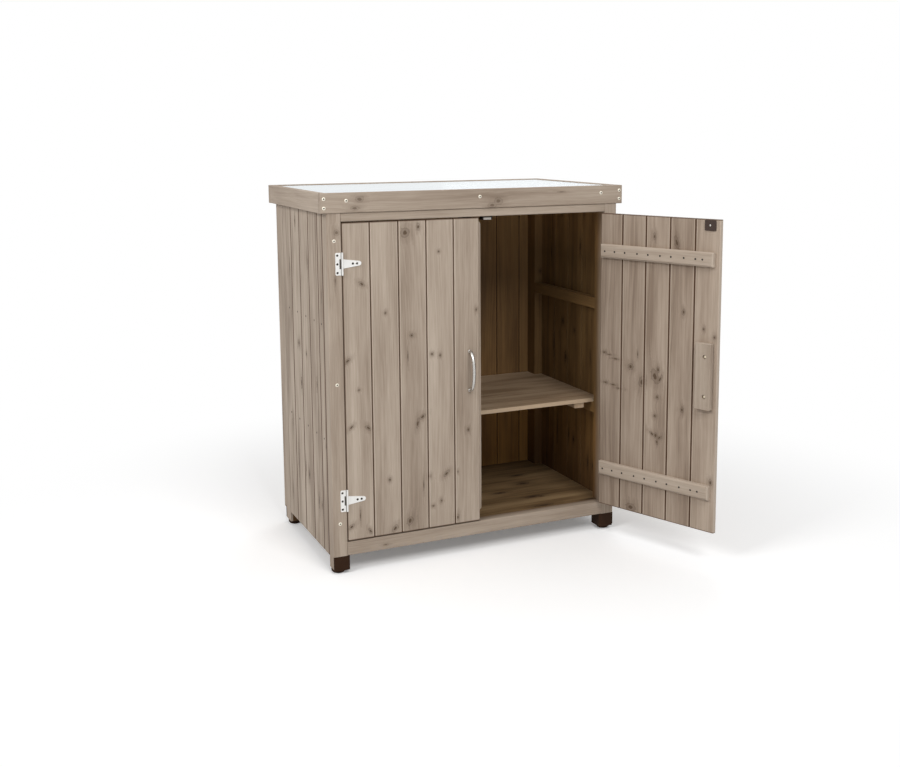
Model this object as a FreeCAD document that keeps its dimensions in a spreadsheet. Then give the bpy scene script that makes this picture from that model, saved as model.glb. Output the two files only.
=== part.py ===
import FreeCAD, Part
import math
import os
import types

import Sketcher

# Garden storage cabinet: two ledged doors, one shelf and a metal-covered worktop.
# X runs to the right along the front, Y to the back and Z up. The origin is on the floor,
# under the middle of the front left post. All lengths are in millimetres.

# Driving dimensions
SIZES = {
    "overall_width": 790.0,
    "overall_depth": 460.0,
    "overall_height": 900.0,
    "side_overhang": 14.0,
    "front_overhang": 3.0,
    "rear_overhang": 16.0,
    "arris": 1.5,
    "fixing_clearance": 0.3,
    # worktop
    "frame_board_height": 46.0,
    "frame_board_thickness": 16.0,
    "bearer_thickness": 18.0,
    "backing_thickness": 8.0,
    "sheet_thickness": 1.0,
    "sheet_recess": 1.5,
    "sheet_flange": 8.0,
    "sheet_side_gap": 0.5,
    # posts and rails
    "post_width": 34.0,
    "post_depth": 45.0,
    "post_base_height": 11.0,
    "side_rebate_width": 11.0,
    "front_rail_base_height": 43.0,
    "front_rail_height": 33.0,
    "front_rail_thickness": 28.0,
    "header_height": 20.0,
    "header_depth": 34.0,
    "rail_thickness": 23.0,
    "top_rail_height": 20.0,
    "mid_rail_height": 28.0,
    "mid_rail_drop": 246.0,
    # boarding
    "side_board_thickness": 11.0,
    "side_board_cover": 76.0,
    "rear_board_thickness": 16.0,
    "rear_board_cover": 71.0,
    "boarding_base_height": 38.0,
    "tongue_length": 4.5,
    "tongue_share_thickness": 4.0,
    "tongue_clearance": 0.3,
    "board_joint_gap": 0.4,
    "front_vee": 2.6,
    "rear_vee": 1.4,
    # floor and shelf
    "floor_board_thickness": 12.0,
    "floor_board_cover": 80.0,
    "shelf_height": 332.0,
    "shelf_thickness": 10.0,
    "shelf_board_cover": 75.0,
    "shelf_front_setback": 9.0,
    "shelf_side_gap": 1.0,
    "shelf_cleat_height": 28.0,
    "shelf_batten_width": 28.0,
    "shelf_batten_thickness": 14.0,
    "shelf_batten_inset": 45.0,
    "shelf_batten_setback": 4.0,
    # doors
    "door_thickness": 13.0,
    "door_board_cover": 70.0,
    "door_side_gap": 1.5,
    "door_meeting_gap": 3.0,
    "door_top_gap": 2.5,
    "door_bottom_gap": 3.0,
    "right_door_open_angle": 112.0,
    "batten_height": 34.0,
    "batten_thickness": 14.0,
    "batten_hinge_inset": 7.0,
    "batten_free_inset": 12.0,
    "batten_chamfer": 4.0,
    "cover_strip_width": 20.0,
    "cover_strip_overlap": 6.5,
    "cover_strip_thickness": 9.0,
    "cover_strip_end_gap": 10.0,
    "cover_strip_bottom_gap": 22.0,
    "cover_strip_corner": 7.0,
    "cover_strip_relief": 0.6,
    # hinges
    "upper_hinge_drop": 93.5,
    "lower_hinge_rise": 99.0,
    "hinge_plate_thickness": 1.5,
    "hinge_barrel_radius": 2.6,
    "hinge_pin_radius": 1.5,
    "hinge_pin_clearance": 0.06,
    "hinge_pin_end": 0.6,
    "hinge_leaf_height": 52.0,
    "hinge_leaf_reach": 16.0,
    "hinge_leaf_notch_reach": 6.5,
    "hinge_leaf_corner": 2.0,
    "hinge_middle_knuckle": 22.0,
    "hinge_knuckle_gap": 0.4,
    "hinge_leaf_hole_reach": 11.5,
    "hinge_leaf_hole_pitch": 20.0,
    "hinge_strap_reach": 46.0,
    "hinge_strap_tip_radius": 5.5,
    "hinge_strap_first_hole": 25.5,
    "hinge_strap_hole_pitch": 10.0,
    # handles
    "handle_above_middle": 5.0,
    "handle_hole_pitch": 96.0,
    "handle_free_inset": 27.0,
    "handle_projection": 27.0,
    "handle_middle_radius": 4.2,
    "handle_end_radius": 3.2,
    "handle_foot_radius": 5.0,
    "handle_foot_height": 4.0,
    "handle_block_width": 42.0,
    "handle_block_height": 160.0,
    "handle_block_thickness": 14.0,
    "handle_block_free_inset": 11.0,
    "handle_screw_bore_radius": 5.0,
    "handle_screw_bore_depth": 6.0,
    # catches
    "catch_from_meeting": 28.0,
    "catch_length": 40.0,
    "catch_body_length": 28.0,
    "catch_depth": 15.0,
    "catch_height": 10.0,
    "catch_ear_thickness": 2.0,
    "catch_magnet_length": 20.0,
    "catch_magnet_height": 2.6,
    "catch_plate_rise": 0.6,
    "catch_plate_thickness": 1.2,
    "catch_plate_reach": 1.2,
    "striker_length": 30.0,
    "striker_height": 25.0,
    "striker_thickness": 2.0,
    "striker_top_gap": 1.5,
    "striker_free_gap": 0.3,
    # feet
    "foot_height": 43.0,
    "foot_glide_height": 8.0,
    "foot_glide_radius": 17.0,
    "foot_glide_land_radius": 14.0,
    "foot_glide_waist_height": 3.5,
    "foot_front_wall": 4.0,
    "foot_inner_wall": 5.5,
    "foot_depth": 41.0,
    "foot_outer_inset": 2.0,
    "foot_corner": 2.25,
    # screws
    "frame_screw_head_radius": 4.0,
    "frame_screw_shank_radius": 2.0,
    "frame_screw_length": 32.0,
    "hinge_screw_head_radius": 3.0,
    "hinge_screw_shank_radius": 1.5,
    "hinge_screw_length": 16.0,
    "handle_screw_head_radius": 4.0,
    "handle_screw_head_height": 2.6,
    "handle_screw_head_round": 1.0,
    "handle_screw_shank_radius": 2.0,
    "frame_corner_screw_height": 22.5,
    "frame_corner_screw_pitch": 21.0,
    "frame_face_screw_height": 28.0,
    "frame_face_screw_inset": 61.0,
    "post_screw_top_drop": 63.0,
    "post_screw_base_height": 123.0,
}

document = FreeCAD.newDocument("garden_storage_cabinet")
sheet = document.addObject("Spreadsheet::Sheet", "Sizes")


class Size:
    """A length with its present value and the expression that keeps it tied to the sheet."""

    def __init__(self, value, text):
        self.value = float(value)
        self.text = text

    def __add__(self, other):
        other = as_size(other)
        return Size(self.value + other.value, f"({self.text} + {other.text})")

    def __sub__(self, other):
        other = as_size(other)
        return Size(self.value - other.value, f"({self.text} - {other.text})")

    def __mul__(self, other):
        other = as_size(other)
        return Size(self.value * other.value, f"({self.text} * {other.text})")

    def __truediv__(self, other):
        other = as_size(other)
        return Size(self.value / other.value, f"({self.text} / {other.text})")

    def __radd__(self, other):
        return as_size(other) + self

    def __rsub__(self, other):
        return as_size(other) - self

    def __rmul__(self, other):
        return as_size(other) * self

    def __neg__(self):
        return Size(-self.value, f"(-1 * {self.text})")


def as_size(number):
    return number if isinstance(number, Size) else Size(number, repr(float(number)))


def fill_sheet(sizes):
    """Writes each size into its own named cell and gives back the lengths by name."""
    named = {}
    for row, (name, value) in enumerate(sizes.items(), start=1):
        sheet.set(f"A{row}", name)
        sheet.set(f"B{row}", str(value))
        sheet.setAlias(f"B{row}", name)
        named[name] = Size(value, f"Sizes.{name}")
    document.recompute()
    return types.SimpleNamespace(**named)


s = fill_sheet(SIZES)

# Shared positions, worked out from the driving dimensions
half_post_width = s.post_width / 2
half_post_depth = s.post_depth / 2
left_side = -half_post_width
span_x = s.overall_width - 2 * s.side_overhang - s.post_width
right_side = span_x + half_post_width
front_plane = -half_post_depth
worktop_left = left_side - s.side_overhang
worktop_right = worktop_left + s.overall_width
worktop_front = front_plane - s.front_overhang
worktop_rear = worktop_front + s.overall_depth
wall_outer = worktop_rear - s.rear_overhang
wall_inner = wall_outer - s.rear_board_thickness
span_y = wall_inner - half_post_depth
carcass_top = s.overall_height - s.frame_board_height
inner_left = left_side + s.side_board_thickness
inner_right = right_side - s.side_board_thickness
opening_left = half_post_width
opening_right = span_x - half_post_width
front_post_rear = half_post_depth
rear_post_front = span_y - half_post_depth
front_rail_top = s.front_rail_base_height + s.front_rail_height
header_base = carcass_top - s.header_height
door_base = front_rail_top + s.door_bottom_gap
door_top = header_base - s.door_top_gap
door_height = door_top - door_base
door_width = (opening_right - opening_left - 2 * s.door_side_gap - s.door_meeting_gap) / 2
pin_inset = s.door_side_gap / 2
pin_y = front_plane - s.hinge_barrel_radius
upper_hinge_height = door_top - s.upper_hinge_drop
lower_hinge_height = door_base + s.lower_hinge_rise
handle_height = (door_base + door_top) / 2 + s.handle_above_middle
mid_rail_top = carcass_top - s.mid_rail_drop
door_face = s.hinge_barrel_radius
door_back = door_face + s.door_thickness

SKETCH_PLANES = {"X": ("YZ_Plane", 1, False), "Y": ("XZ_Plane", -1, True), "Z": ("XY_Plane", 1, False)}


def bind(thing, prop, size):
    thing.setExpression(prop, as_size(size).text)


def origin_plane(body, role):
    for feature in body.Origin.OriginFeatures:
        if feature.Role == role:
            return feature
    raise ValueError(f"{body.Name} has no {role}")


def arc_middle(start, end, radius, side):
    """Middle point of the short arc from start to end that bulges to the given side."""
    middle_x = (start[0] + end[0]) / 2
    middle_y = (start[1] + end[1]) / 2
    run_x = end[0] - start[0]
    run_y = end[1] - start[1]
    chord = math.hypot(run_x, run_y)
    height = radius - math.sqrt(max(radius * radius - chord * chord / 4, 0.0))
    return (middle_x + side * run_y / chord * height, middle_y - side * run_x / chord * height)


def outline(body, name, axis, start, corners):
    """Closed sketch across an axis. A corner is (x, y), or (x, y, radius, side) where an arc follows it."""
    role, sign, _ = SKETCH_PLANES[axis]
    sketch = body.newObject("Sketcher::SketchObject", name)
    sketch.AttachmentSupport = [(origin_plane(body, role), "")]
    sketch.MapMode = "FlatFace"
    bind(sketch, "AttachmentOffset.Base.z", as_size(start) * sign)
    places = [(as_size(corner[0]), as_size(corner[1])) for corner in corners]
    count = len(corners)
    for index, corner in enumerate(corners):
        first = (places[index][0].value, places[index][1].value)
        after = places[(index + 1) % count]
        last = (after[0].value, after[1].value)
        first_point = FreeCAD.Vector(first[0], first[1], 0)
        last_point = FreeCAD.Vector(last[0], last[1], 0)
        if len(corner) == 4:
            middle = arc_middle(first, last, as_size(corner[2]).value, corner[3])
            edge = Part.Arc(first_point, FreeCAD.Vector(middle[0], middle[1], 0), last_point)
        else:
            edge = Part.LineSegment(first_point, last_point)
        sketch.addGeometry(edge, False)
    tie_corners(sketch, places, corners)
    return sketch


def edge_ends(sketch, index, first):
    """The vertex numbers of an edge in the order in which the outline runs."""
    start = sketch.getPoint(index, 1)
    at_start = math.hypot(start.x - first[0].value, start.y - first[1].value) < 1e-6
    return (1, 2) if at_start else (2, 1)


def tie_corners(sketch, places, corners):
    count = len(places)
    ends = [edge_ends(sketch, index, places[index]) for index in range(count)]
    for index in range(count):
        after = (index + 1) % count
        sketch.addConstraint(Sketcher.Constraint("Coincident", index, ends[index][1], after, ends[after][0]))
    for index, place in enumerate(places):
        for kind, size in (("DistanceX", place[0]), ("DistanceY", place[1])):
            number = sketch.addConstraint(
                Sketcher.Constraint(kind, -1, 1, index, ends[index][0], size.value)
            )
            bind(sketch, f"Constraints[{number}]", size)
    for index, corner in enumerate(corners):
        if len(corner) == 4:
            radius = as_size(corner[2])
            number = sketch.addConstraint(Sketcher.Constraint("Radius", index, radius.value))
            bind(sketch, f"Constraints[{number}]", radius)


def new_body(name):
    body = document.addObject("PartDesign::Body", name)
    body.Label = name
    return body


def pad(body, sketch, axis, length):
    feature = body.newObject("PartDesign::Pad", f"{sketch.Name}_pad")
    feature.Profile = sketch
    feature.Reversed = SKETCH_PLANES[axis][2]
    bind(feature, "Length", length)
    sketch.Visibility = False
    return feature


def round_pad(body, name, sides, radius, low, high):
    """Adds a many-sided round length about the body's own upright axis."""
    step = 2 * math.pi / sides
    corners = [(radius * math.cos(step * index), radius * math.sin(step * index)) for index in range(sides)]
    pad(body, outline(body, name, "Z", low, corners), "Z", high - low)


def prism(name, axis, start, length, corners):
    """A body with one outline drawn across an axis and padded along it."""
    body = new_body(name)
    pad(body, outline(body, f"{name}_outline", axis, start, corners), axis, length)
    return body


def eased_rectangle(low, high, ease):
    """Corners of a rectangle with all four arrises taken off."""
    left, bottom = as_size(low[0]), as_size(low[1])
    right, top = as_size(high[0]), as_size(high[1])
    return [
        (left + ease, bottom),
        (right - ease, bottom),
        (right, bottom + ease),
        (right, top - ease),
        (right - ease, top),
        (left + ease, top),
        (left, top - ease),
        (left, bottom + ease),
    ]


def stick(name, axis, low, high, ease=None):
    """A straight member between two opposite corners, with eased long edges."""
    low = [as_size(value) for value in low]
    high = [as_size(value) for value in high]
    along = "XYZ".index(axis)
    across = [index for index in range(3) if index != along]
    corners = eased_rectangle(
        [low[index] for index in across], [high[index] for index in across], s.arris if ease is None else ease
    )
    return prism(name, axis, low[along], high[along] - low[along], corners)


def block(name, low, high):
    """A plain box between two opposite corners."""
    low = [as_size(value) for value in low]
    high = [as_size(value) for value in high]
    box = document.addObject("Part::Box", name)
    box.Label = name
    for index, prop in enumerate(("Length", "Width", "Height")):
        bind(box, prop, high[index] - low[index])
    for index, letter in enumerate("xyz"):
        bind(box, f"Placement.Base.{letter}", low[index])
    return box


def cylinder(name, radius, height, base=(0, 0, 0), rotation=None):
    rod = document.addObject("Part::Cylinder", name)
    rod.Label = name
    bind(rod, "Radius", radius)
    bind(rod, "Height", height)
    set_place(rod, base, rotation)
    return rod


def set_place(thing, base, rotation=None):
    if rotation is not None:
        thing.Placement = FreeCAD.Placement(FreeCAD.Vector(0, 0, 0), rotation)
    for letter, value in zip("xyz", base):
        bind(thing, f"Placement.Base.{letter}", value)


def group(name, members):
    """Several separate solids under one name."""
    compound = document.addObject("Part::Compound", name)
    compound.Label = name
    compound.Links = members
    return compound


def joined(name, members):
    fused = document.addObject("Part::MultiFuse", name)
    fused.Label = name
    fused.Shapes = members
    return fused


def cut(name, base, tools):
    """The base piece with the room for the given pieces taken out of it."""
    tool = tools[0] if len(tools) == 1 else group(f"{name}_room", tools)
    result = document.addObject("Part::Cut", name)
    result.Label = name
    result.Base = base
    result.Tool = tool
    return result


subparts = []


def keep(piece, name):
    """Names a finished sub-part. Its name is the name of its file."""
    piece.Label = name
    subparts.append(piece)
    return piece


# Screws

FACING = {
    "-Y": FreeCAD.Rotation(FreeCAD.Vector(1, 0, 0), 90),
    "+Y": FreeCAD.Rotation(FreeCAD.Vector(1, 0, 0), -90),
    "-Z": FreeCAD.Rotation(),
}
SCREW_SIDES = 8
HANDLE_SIDES = 16
HANDLE_STATIONS = 9
BARREL_SIDES = 12
GLIDE_SIDES = 16


def many_sided(name, sides, radius, place, rotation=None):
    """One many-sided section of a small round piece."""
    ring = document.addObject("Part::RegularPolygon", name)
    ring.Polygon = sides
    bind(ring, "Circumradius", radius)
    set_place(ring, place, rotation)
    return ring


def lofted(name, sections):
    """A solid with flat facets through a row of sections."""
    solid = document.addObject("Part::Loft", name)
    solid.Sections = sections
    solid.Solid = True
    solid.Ruled = True
    return solid


def turned(name, sides, stations, place, facing):
    """A small round piece along its own axis. A station is (depth below place, radius)."""
    sections = []
    for index, (depth, radius) in enumerate(stations):
        x, y, z = place
        if facing == "-Y":
            y = y + depth
        elif facing == "+Y":
            y = y - depth
        else:
            z = z + depth
        sections.append(many_sided(f"{name}_ring_{index}", sides, radius, (x, y, z), FACING[facing]))
    return lofted(name, sections)


def screw(name, place, facing, head_radius, shank_radius, length):
    """Countersunk screw whose head lies flush at place and faces the given way."""
    stations = [(as_size(0), head_radius), (head_radius - shank_radius, shank_radius), (length, shank_radius)]
    return turned(name, SCREW_SIDES, stations, place, facing)


def frame_screw(name, x, z, facing):
    face = worktop_front if facing == "-Y" else worktop_rear
    return screw(
        name, (x, face, z), facing, s.frame_screw_head_radius, s.frame_screw_shank_radius, s.frame_screw_length
    )


def make_frame_screws():
    """Two screws at each corner of the frame and three along its front and rear boards."""
    corner_x = (worktop_left + s.frame_board_thickness / 2, worktop_right - s.frame_board_thickness / 2)
    face_x = (
        worktop_left + s.frame_face_screw_inset,
        (worktop_left + worktop_right) / 2,
        worktop_right - s.frame_face_screw_inset,
    )
    corner_z = (
        carcass_top + s.frame_corner_screw_height - s.frame_corner_screw_pitch / 2,
        carcass_top + s.frame_corner_screw_height + s.frame_corner_screw_pitch / 2,
    )
    face_z = carcass_top + s.frame_face_screw_height
    made = {}
    for facing, end in (("-Y", "front"), ("+Y", "rear")):
        screws = []
        for side, x in enumerate(corner_x):
            for level, z in enumerate(corner_z):
                screws.append(frame_screw(f"{end}_corner_screw_{side}{level}", x, z, facing))
        for index, x in enumerate(face_x):
            screws.append(frame_screw(f"{end}_face_screw_{index}", x, face_z, facing))
        made[end] = screws
    return made


# Posts, feet and rails


def post_section(hand, turn, front_cut, rebate):
    """Section of a post about its own centre line. Hand is 1 on the left, turn is 1 at the front."""
    outer = -half_post_width * hand
    inner = half_post_width * hand
    face = (-half_post_depth + front_cut) * turn
    back = half_post_depth * turn
    ease_x = s.arris * hand
    ease_y = s.arris * turn
    corners = [(outer + ease_x, face), (inner - ease_x, face), (inner, face + ease_y), (inner, back)]
    if rebate:
        corners += [
            (outer + s.side_board_thickness * hand, back),
            (outer + s.side_board_thickness * hand, back - s.side_rebate_width * turn),
            (outer, back - s.side_rebate_width * turn),
        ]
    else:
        corners += [(outer, back)]
    return corners + [(outer, face + ease_y)]


def make_post(name, hand, turn, x, y):
    """A post with its foot notch below and, at the front, the rebate that takes the side boards."""
    body = new_body(f"{name}_blank")
    notch = s.foot_height - s.post_base_height
    lower = outline(
        body,
        f"{name}_lower_outline",
        "Z",
        s.post_base_height,
        post_section(hand, turn, s.foot_front_wall, turn > 0),
    )
    pad(body, lower, "Z", notch)
    upper = outline(body, f"{name}_upper_outline", "Z", s.foot_height, post_section(hand, turn, 0, turn > 0))
    pad(body, upper, "Z", carcass_top - s.foot_height)
    set_place(body, (x, y, 0))
    return body


def make_foot(name, hand, turn, x, y):
    """Moulded corner foot: a face wall, an inner wall, a sole and a rounded glide."""
    outer = -half_post_width * hand
    inner = (half_post_width + s.foot_inner_wall) * hand
    face = -half_post_depth * turn
    back_of_wall = (-half_post_depth + s.foot_front_wall) * turn
    end = (-half_post_depth + s.foot_depth) * turn
    sole_outer = (-half_post_width + s.foot_outer_inset) * hand
    sole_height = s.post_base_height - s.foot_glide_height
    corner = s.foot_corner
    body = new_body(name)
    walls = outline(
        body,
        f"{name}_walls",
        "Z",
        s.post_base_height,
        [
            (outer, face),
            (inner - corner * hand, face),
            (inner, face + corner * turn),
            (inner, end),
            (half_post_width * hand, end),
            (half_post_width * hand, back_of_wall),
            (outer, back_of_wall),
        ],
    )
    pad(body, walls, "Z", s.foot_height - s.post_base_height)
    sole = outline(
        body,
        f"{name}_sole",
        "Z",
        s.foot_glide_height,
        [
            (sole_outer, face),
            (inner - corner * hand, face),
            (inner, face + corner * turn),
            (inner, end),
            (sole_outer, end),
        ],
    )
    pad(body, sole, "Z", sole_height)
    waist = s.foot_glide_waist_height
    round_pad(body, f"{name}_glide_rim", GLIDE_SIDES, s.foot_glide_radius, waist, s.foot_glide_height)
    round_pad(body, f"{name}_glide_land", GLIDE_SIDES, s.foot_glide_land_radius, as_size(0), waist)
    set_place(body, (x, y, 0))
    return body


def make_post_screws(x, name):
    lowest = s.post_screw_base_height
    highest = carcass_top - s.post_screw_top_drop
    heights = (lowest, (lowest + highest) / 2, highest)
    return [
        screw(
            f"{name}_{index}",
            (x, front_plane, z),
            "-Y",
            s.frame_screw_head_radius,
            s.frame_screw_shank_radius,
            s.frame_screw_length,
        )
        for index, z in enumerate(heights)
    ]


def make_corners(leaf_screws):
    """The four posts and their feet. The front posts are drilled for their own and the hinges' screws."""
    post_screws = {1: make_post_screws(as_size(0), "left_post_screw"), -1: make_post_screws(span_x, "right_post_screw")}
    for side, hand, x in (("left", 1, as_size(0)), ("right", -1, span_x)):
        for end, turn, y in (("front", 1, as_size(0)), ("rear", -1, span_y)):
            name = f"{end}_{side}_post"
            post = make_post(name, hand, turn, x, y)
            if turn > 0:
                post = cut(name, post, post_screws[hand] + leaf_screws[hand])
            keep(post, name)
            keep(make_foot(f"{end}_{side}_foot", hand, turn, x, y), f"{end}_{side}_foot")
    keep(group("post_screws", post_screws[1] + post_screws[-1]), "post_screws")


def make_rails():
    """Front header and bottom rail, rear rails, and the rails inside each boarded side."""
    keep(
        stick(
            "header_rail",
            "X",
            (opening_left, front_plane, header_base),
            (opening_right, front_plane + s.header_depth, carcass_top),
        ),
        "header_rail",
    )
    keep(
        stick(
            "bottom_rail",
            "X",
            (opening_left, front_plane, s.front_rail_base_height),
            (opening_right, front_plane + s.front_rail_thickness, front_rail_top),
        ),
        "bottom_rail",
    )
    rear_rail_front = wall_inner - s.rail_thickness
    floor_base = front_rail_top - s.floor_board_thickness
    levels = {
        "rear_top_rail": (carcass_top - s.top_rail_height, carcass_top),
        "rear_bottom_rail": (s.foot_height, floor_base),
    }
    for name, (low, high) in levels.items():
        keep(stick(name, "X", (opening_left, rear_rail_front, low), (opening_right, wall_inner, high)), name)
    side_levels = {
        "top_rail": (carcass_top - s.top_rail_height, carcass_top),
        "mid_rail": (mid_rail_top - s.mid_rail_height, mid_rail_top),
        "shelf_cleat": (s.shelf_height - s.shelf_cleat_height, s.shelf_height),
        "floor_bearer": (s.boarding_base_height, floor_base),
    }
    for side, low_x in (("left", inner_left), ("right", inner_right - s.rail_thickness)):
        for kind, (low, high) in side_levels.items():
            name = f"{side}_{kind}"
            keep(
                stick(
                    name, "Y", (low_x, front_post_rear, low), (low_x + s.rail_thickness, rear_post_front, high)
                ),
                name,
            )


# Boards


def board_section(width, thickness, grooved, tongued, front_vee, rear_vee):
    """Section of a matched board: across the width from 0, through the thickness from its face at 0."""
    tongue_low = (thickness - s.tongue_share_thickness) / 2
    tongue_high = tongue_low + s.tongue_share_thickness
    groove_low = tongue_low - s.tongue_clearance
    groove_high = tongue_high + s.tongue_clearance
    groove_depth = s.tongue_length + s.tongue_clearance
    edge = width - s.board_joint_gap
    corners = [(front_vee, 0), (edge - front_vee, 0), (edge, front_vee)]
    if tongued:
        tip = edge + s.tongue_length
        corners += [(edge, tongue_low), (tip, tongue_low), (tip, tongue_high), (edge, tongue_high)]
    corners += [(edge, thickness - rear_vee), (edge - rear_vee, thickness), (rear_vee, thickness)]
    corners += [(0, thickness - rear_vee)]
    if grooved:
        corners += [(0, groove_high), (groove_depth, groove_high), (groove_depth, groove_low), (0, groove_low)]
    return corners + [(0, front_vee)]


def board_widths(total, cover):
    """Full boards in the middle and two equal cut boards at the edges."""
    inner = max(int(total.value // cover.value) - 1, 1)
    edge = (total - inner * cover) / 2
    return [edge] + [cover] * inner + [edge]


def boarding(name, widths, thickness, low, high, place):
    """A row of upright matched boards. Place turns (across, through) into a point of the plan."""
    boards = []
    start = as_size(0)
    for index, width in enumerate(widths):
        section = board_section(
            width, thickness, index > 0, index < len(widths) - 1, s.front_vee, s.rear_vee
        )
        corners = [place(start + as_size(across), as_size(through)) for across, through in section]
        boards.append(prism(f"{name}_{index + 1}", "Z", low, high - low, corners))
        start = start + width
    return boards


def make_side_boards():
    first_edge = front_post_rear - s.side_rebate_width
    total = rear_post_front - first_edge
    full = max(int(total.value // s.side_board_cover.value), 1)
    widths = [total - full * s.side_board_cover] + [s.side_board_cover] * full
    for side, face, hand in (("left", left_side, 1), ("right", right_side, -1)):
        boards = boarding(
            f"{side}_side_board",
            widths,
            s.side_board_thickness,
            s.boarding_base_height,
            carcass_top,
            lambda across, through, face=face, hand=hand: (face + through * hand, first_edge + across),
        )
        keep(group(f"{side}_side_boards", boards), f"{side}_side_boards")


def make_rear_wall():
    boards = boarding(
        "rear_wall_board",
        board_widths(right_side - left_side, s.rear_board_cover),
        s.rear_board_thickness,
        s.boarding_base_height,
        carcass_top,
        lambda across, through: (left_side + across, wall_outer - through),
    )
    keep(group("rear_wall_boards", boards), "rear_wall_boards")


def flat_board(name, low_y, high_y, low_z, high_z, notches):
    """A board that runs along X. Notches are (depth along X, low Y, high Y) cut at both ends."""
    left = inner_left + s.shelf_side_gap
    right = inner_right - s.shelf_side_gap
    corners = [(left, low_y), (right, low_y), (right, high_y), (left, high_y)]
    for end, start_y, end_y in notches:
        if end == "rear":
            corners = [
                (left, low_y),
                (right, low_y),
                (right, start_y),
                (opening_right - s.fixing_clearance, start_y),
                (opening_right - s.fixing_clearance, high_y),
                (opening_left + s.fixing_clearance, high_y),
                (opening_left + s.fixing_clearance, start_y),
                (left, start_y),
            ]
        else:
            corners = [
                (opening_left + s.fixing_clearance, low_y),
                (opening_right - s.fixing_clearance, low_y),
                (opening_right - s.fixing_clearance, end_y),
                (right, end_y),
                (right, high_y),
                (left, high_y),
                (left, end_y),
                (opening_left + s.fixing_clearance, end_y),
            ]
    return prism(name, "Z", low_z, high_z - low_z, corners)


def make_flat_boards(name, first, last, cover, low_z, high_z, front_notch):
    """Boards side by side from front to back, the end ones notched round the posts."""
    total = last - first
    count = max(int(round(total.value / cover.value)), 3)
    width = total / count
    boards = []
    for index in range(count):
        low_y = first + width * index
        high_y = low_y + width - s.board_joint_gap
        notches = []
        if front_notch and index == 0:
            notches.append(("front", low_y, front_post_rear + s.fixing_clearance))
        if index == count - 1:
            notches.append(("rear", rear_post_front - s.fixing_clearance, high_y))
        boards.append(flat_board(f"{name}_{index + 1}", low_y, high_y, low_z, high_z, notches))
    return group(f"{name}s", boards)


def make_floor_and_shelf():
    floor_front = front_plane + s.front_rail_thickness
    keep(
        make_flat_boards(
            "floor_board",
            floor_front,
            wall_inner,
            s.floor_board_cover,
            front_rail_top - s.floor_board_thickness,
            front_rail_top,
            True,
        ),
        "floor_boards",
    )
    shelf_front = front_post_rear + s.shelf_front_setback
    shelf_rear = wall_inner - s.shelf_side_gap
    shelf_top = s.shelf_height + s.shelf_thickness
    keep(
        make_flat_boards(
            "shelf_board", shelf_front, shelf_rear, s.shelf_board_cover, s.shelf_height, shelf_top, False
        ),
        "shelf_boards",
    )
    battens = []
    for side, low_x in (
        ("left", inner_left + s.shelf_batten_inset),
        ("right", inner_right - s.shelf_batten_inset - s.shelf_batten_width),
    ):
        battens.append(
            stick(
                f"{side}_shelf_batten",
                "Y",
                (low_x, shelf_front + s.shelf_batten_setback, s.shelf_height - s.shelf_batten_thickness),
                (low_x + s.shelf_batten_width, shelf_rear - s.shelf_batten_setback, s.shelf_height),
            )
        )
    keep(group("shelf_battens", battens), "shelf_battens")


# Worktop


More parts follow.
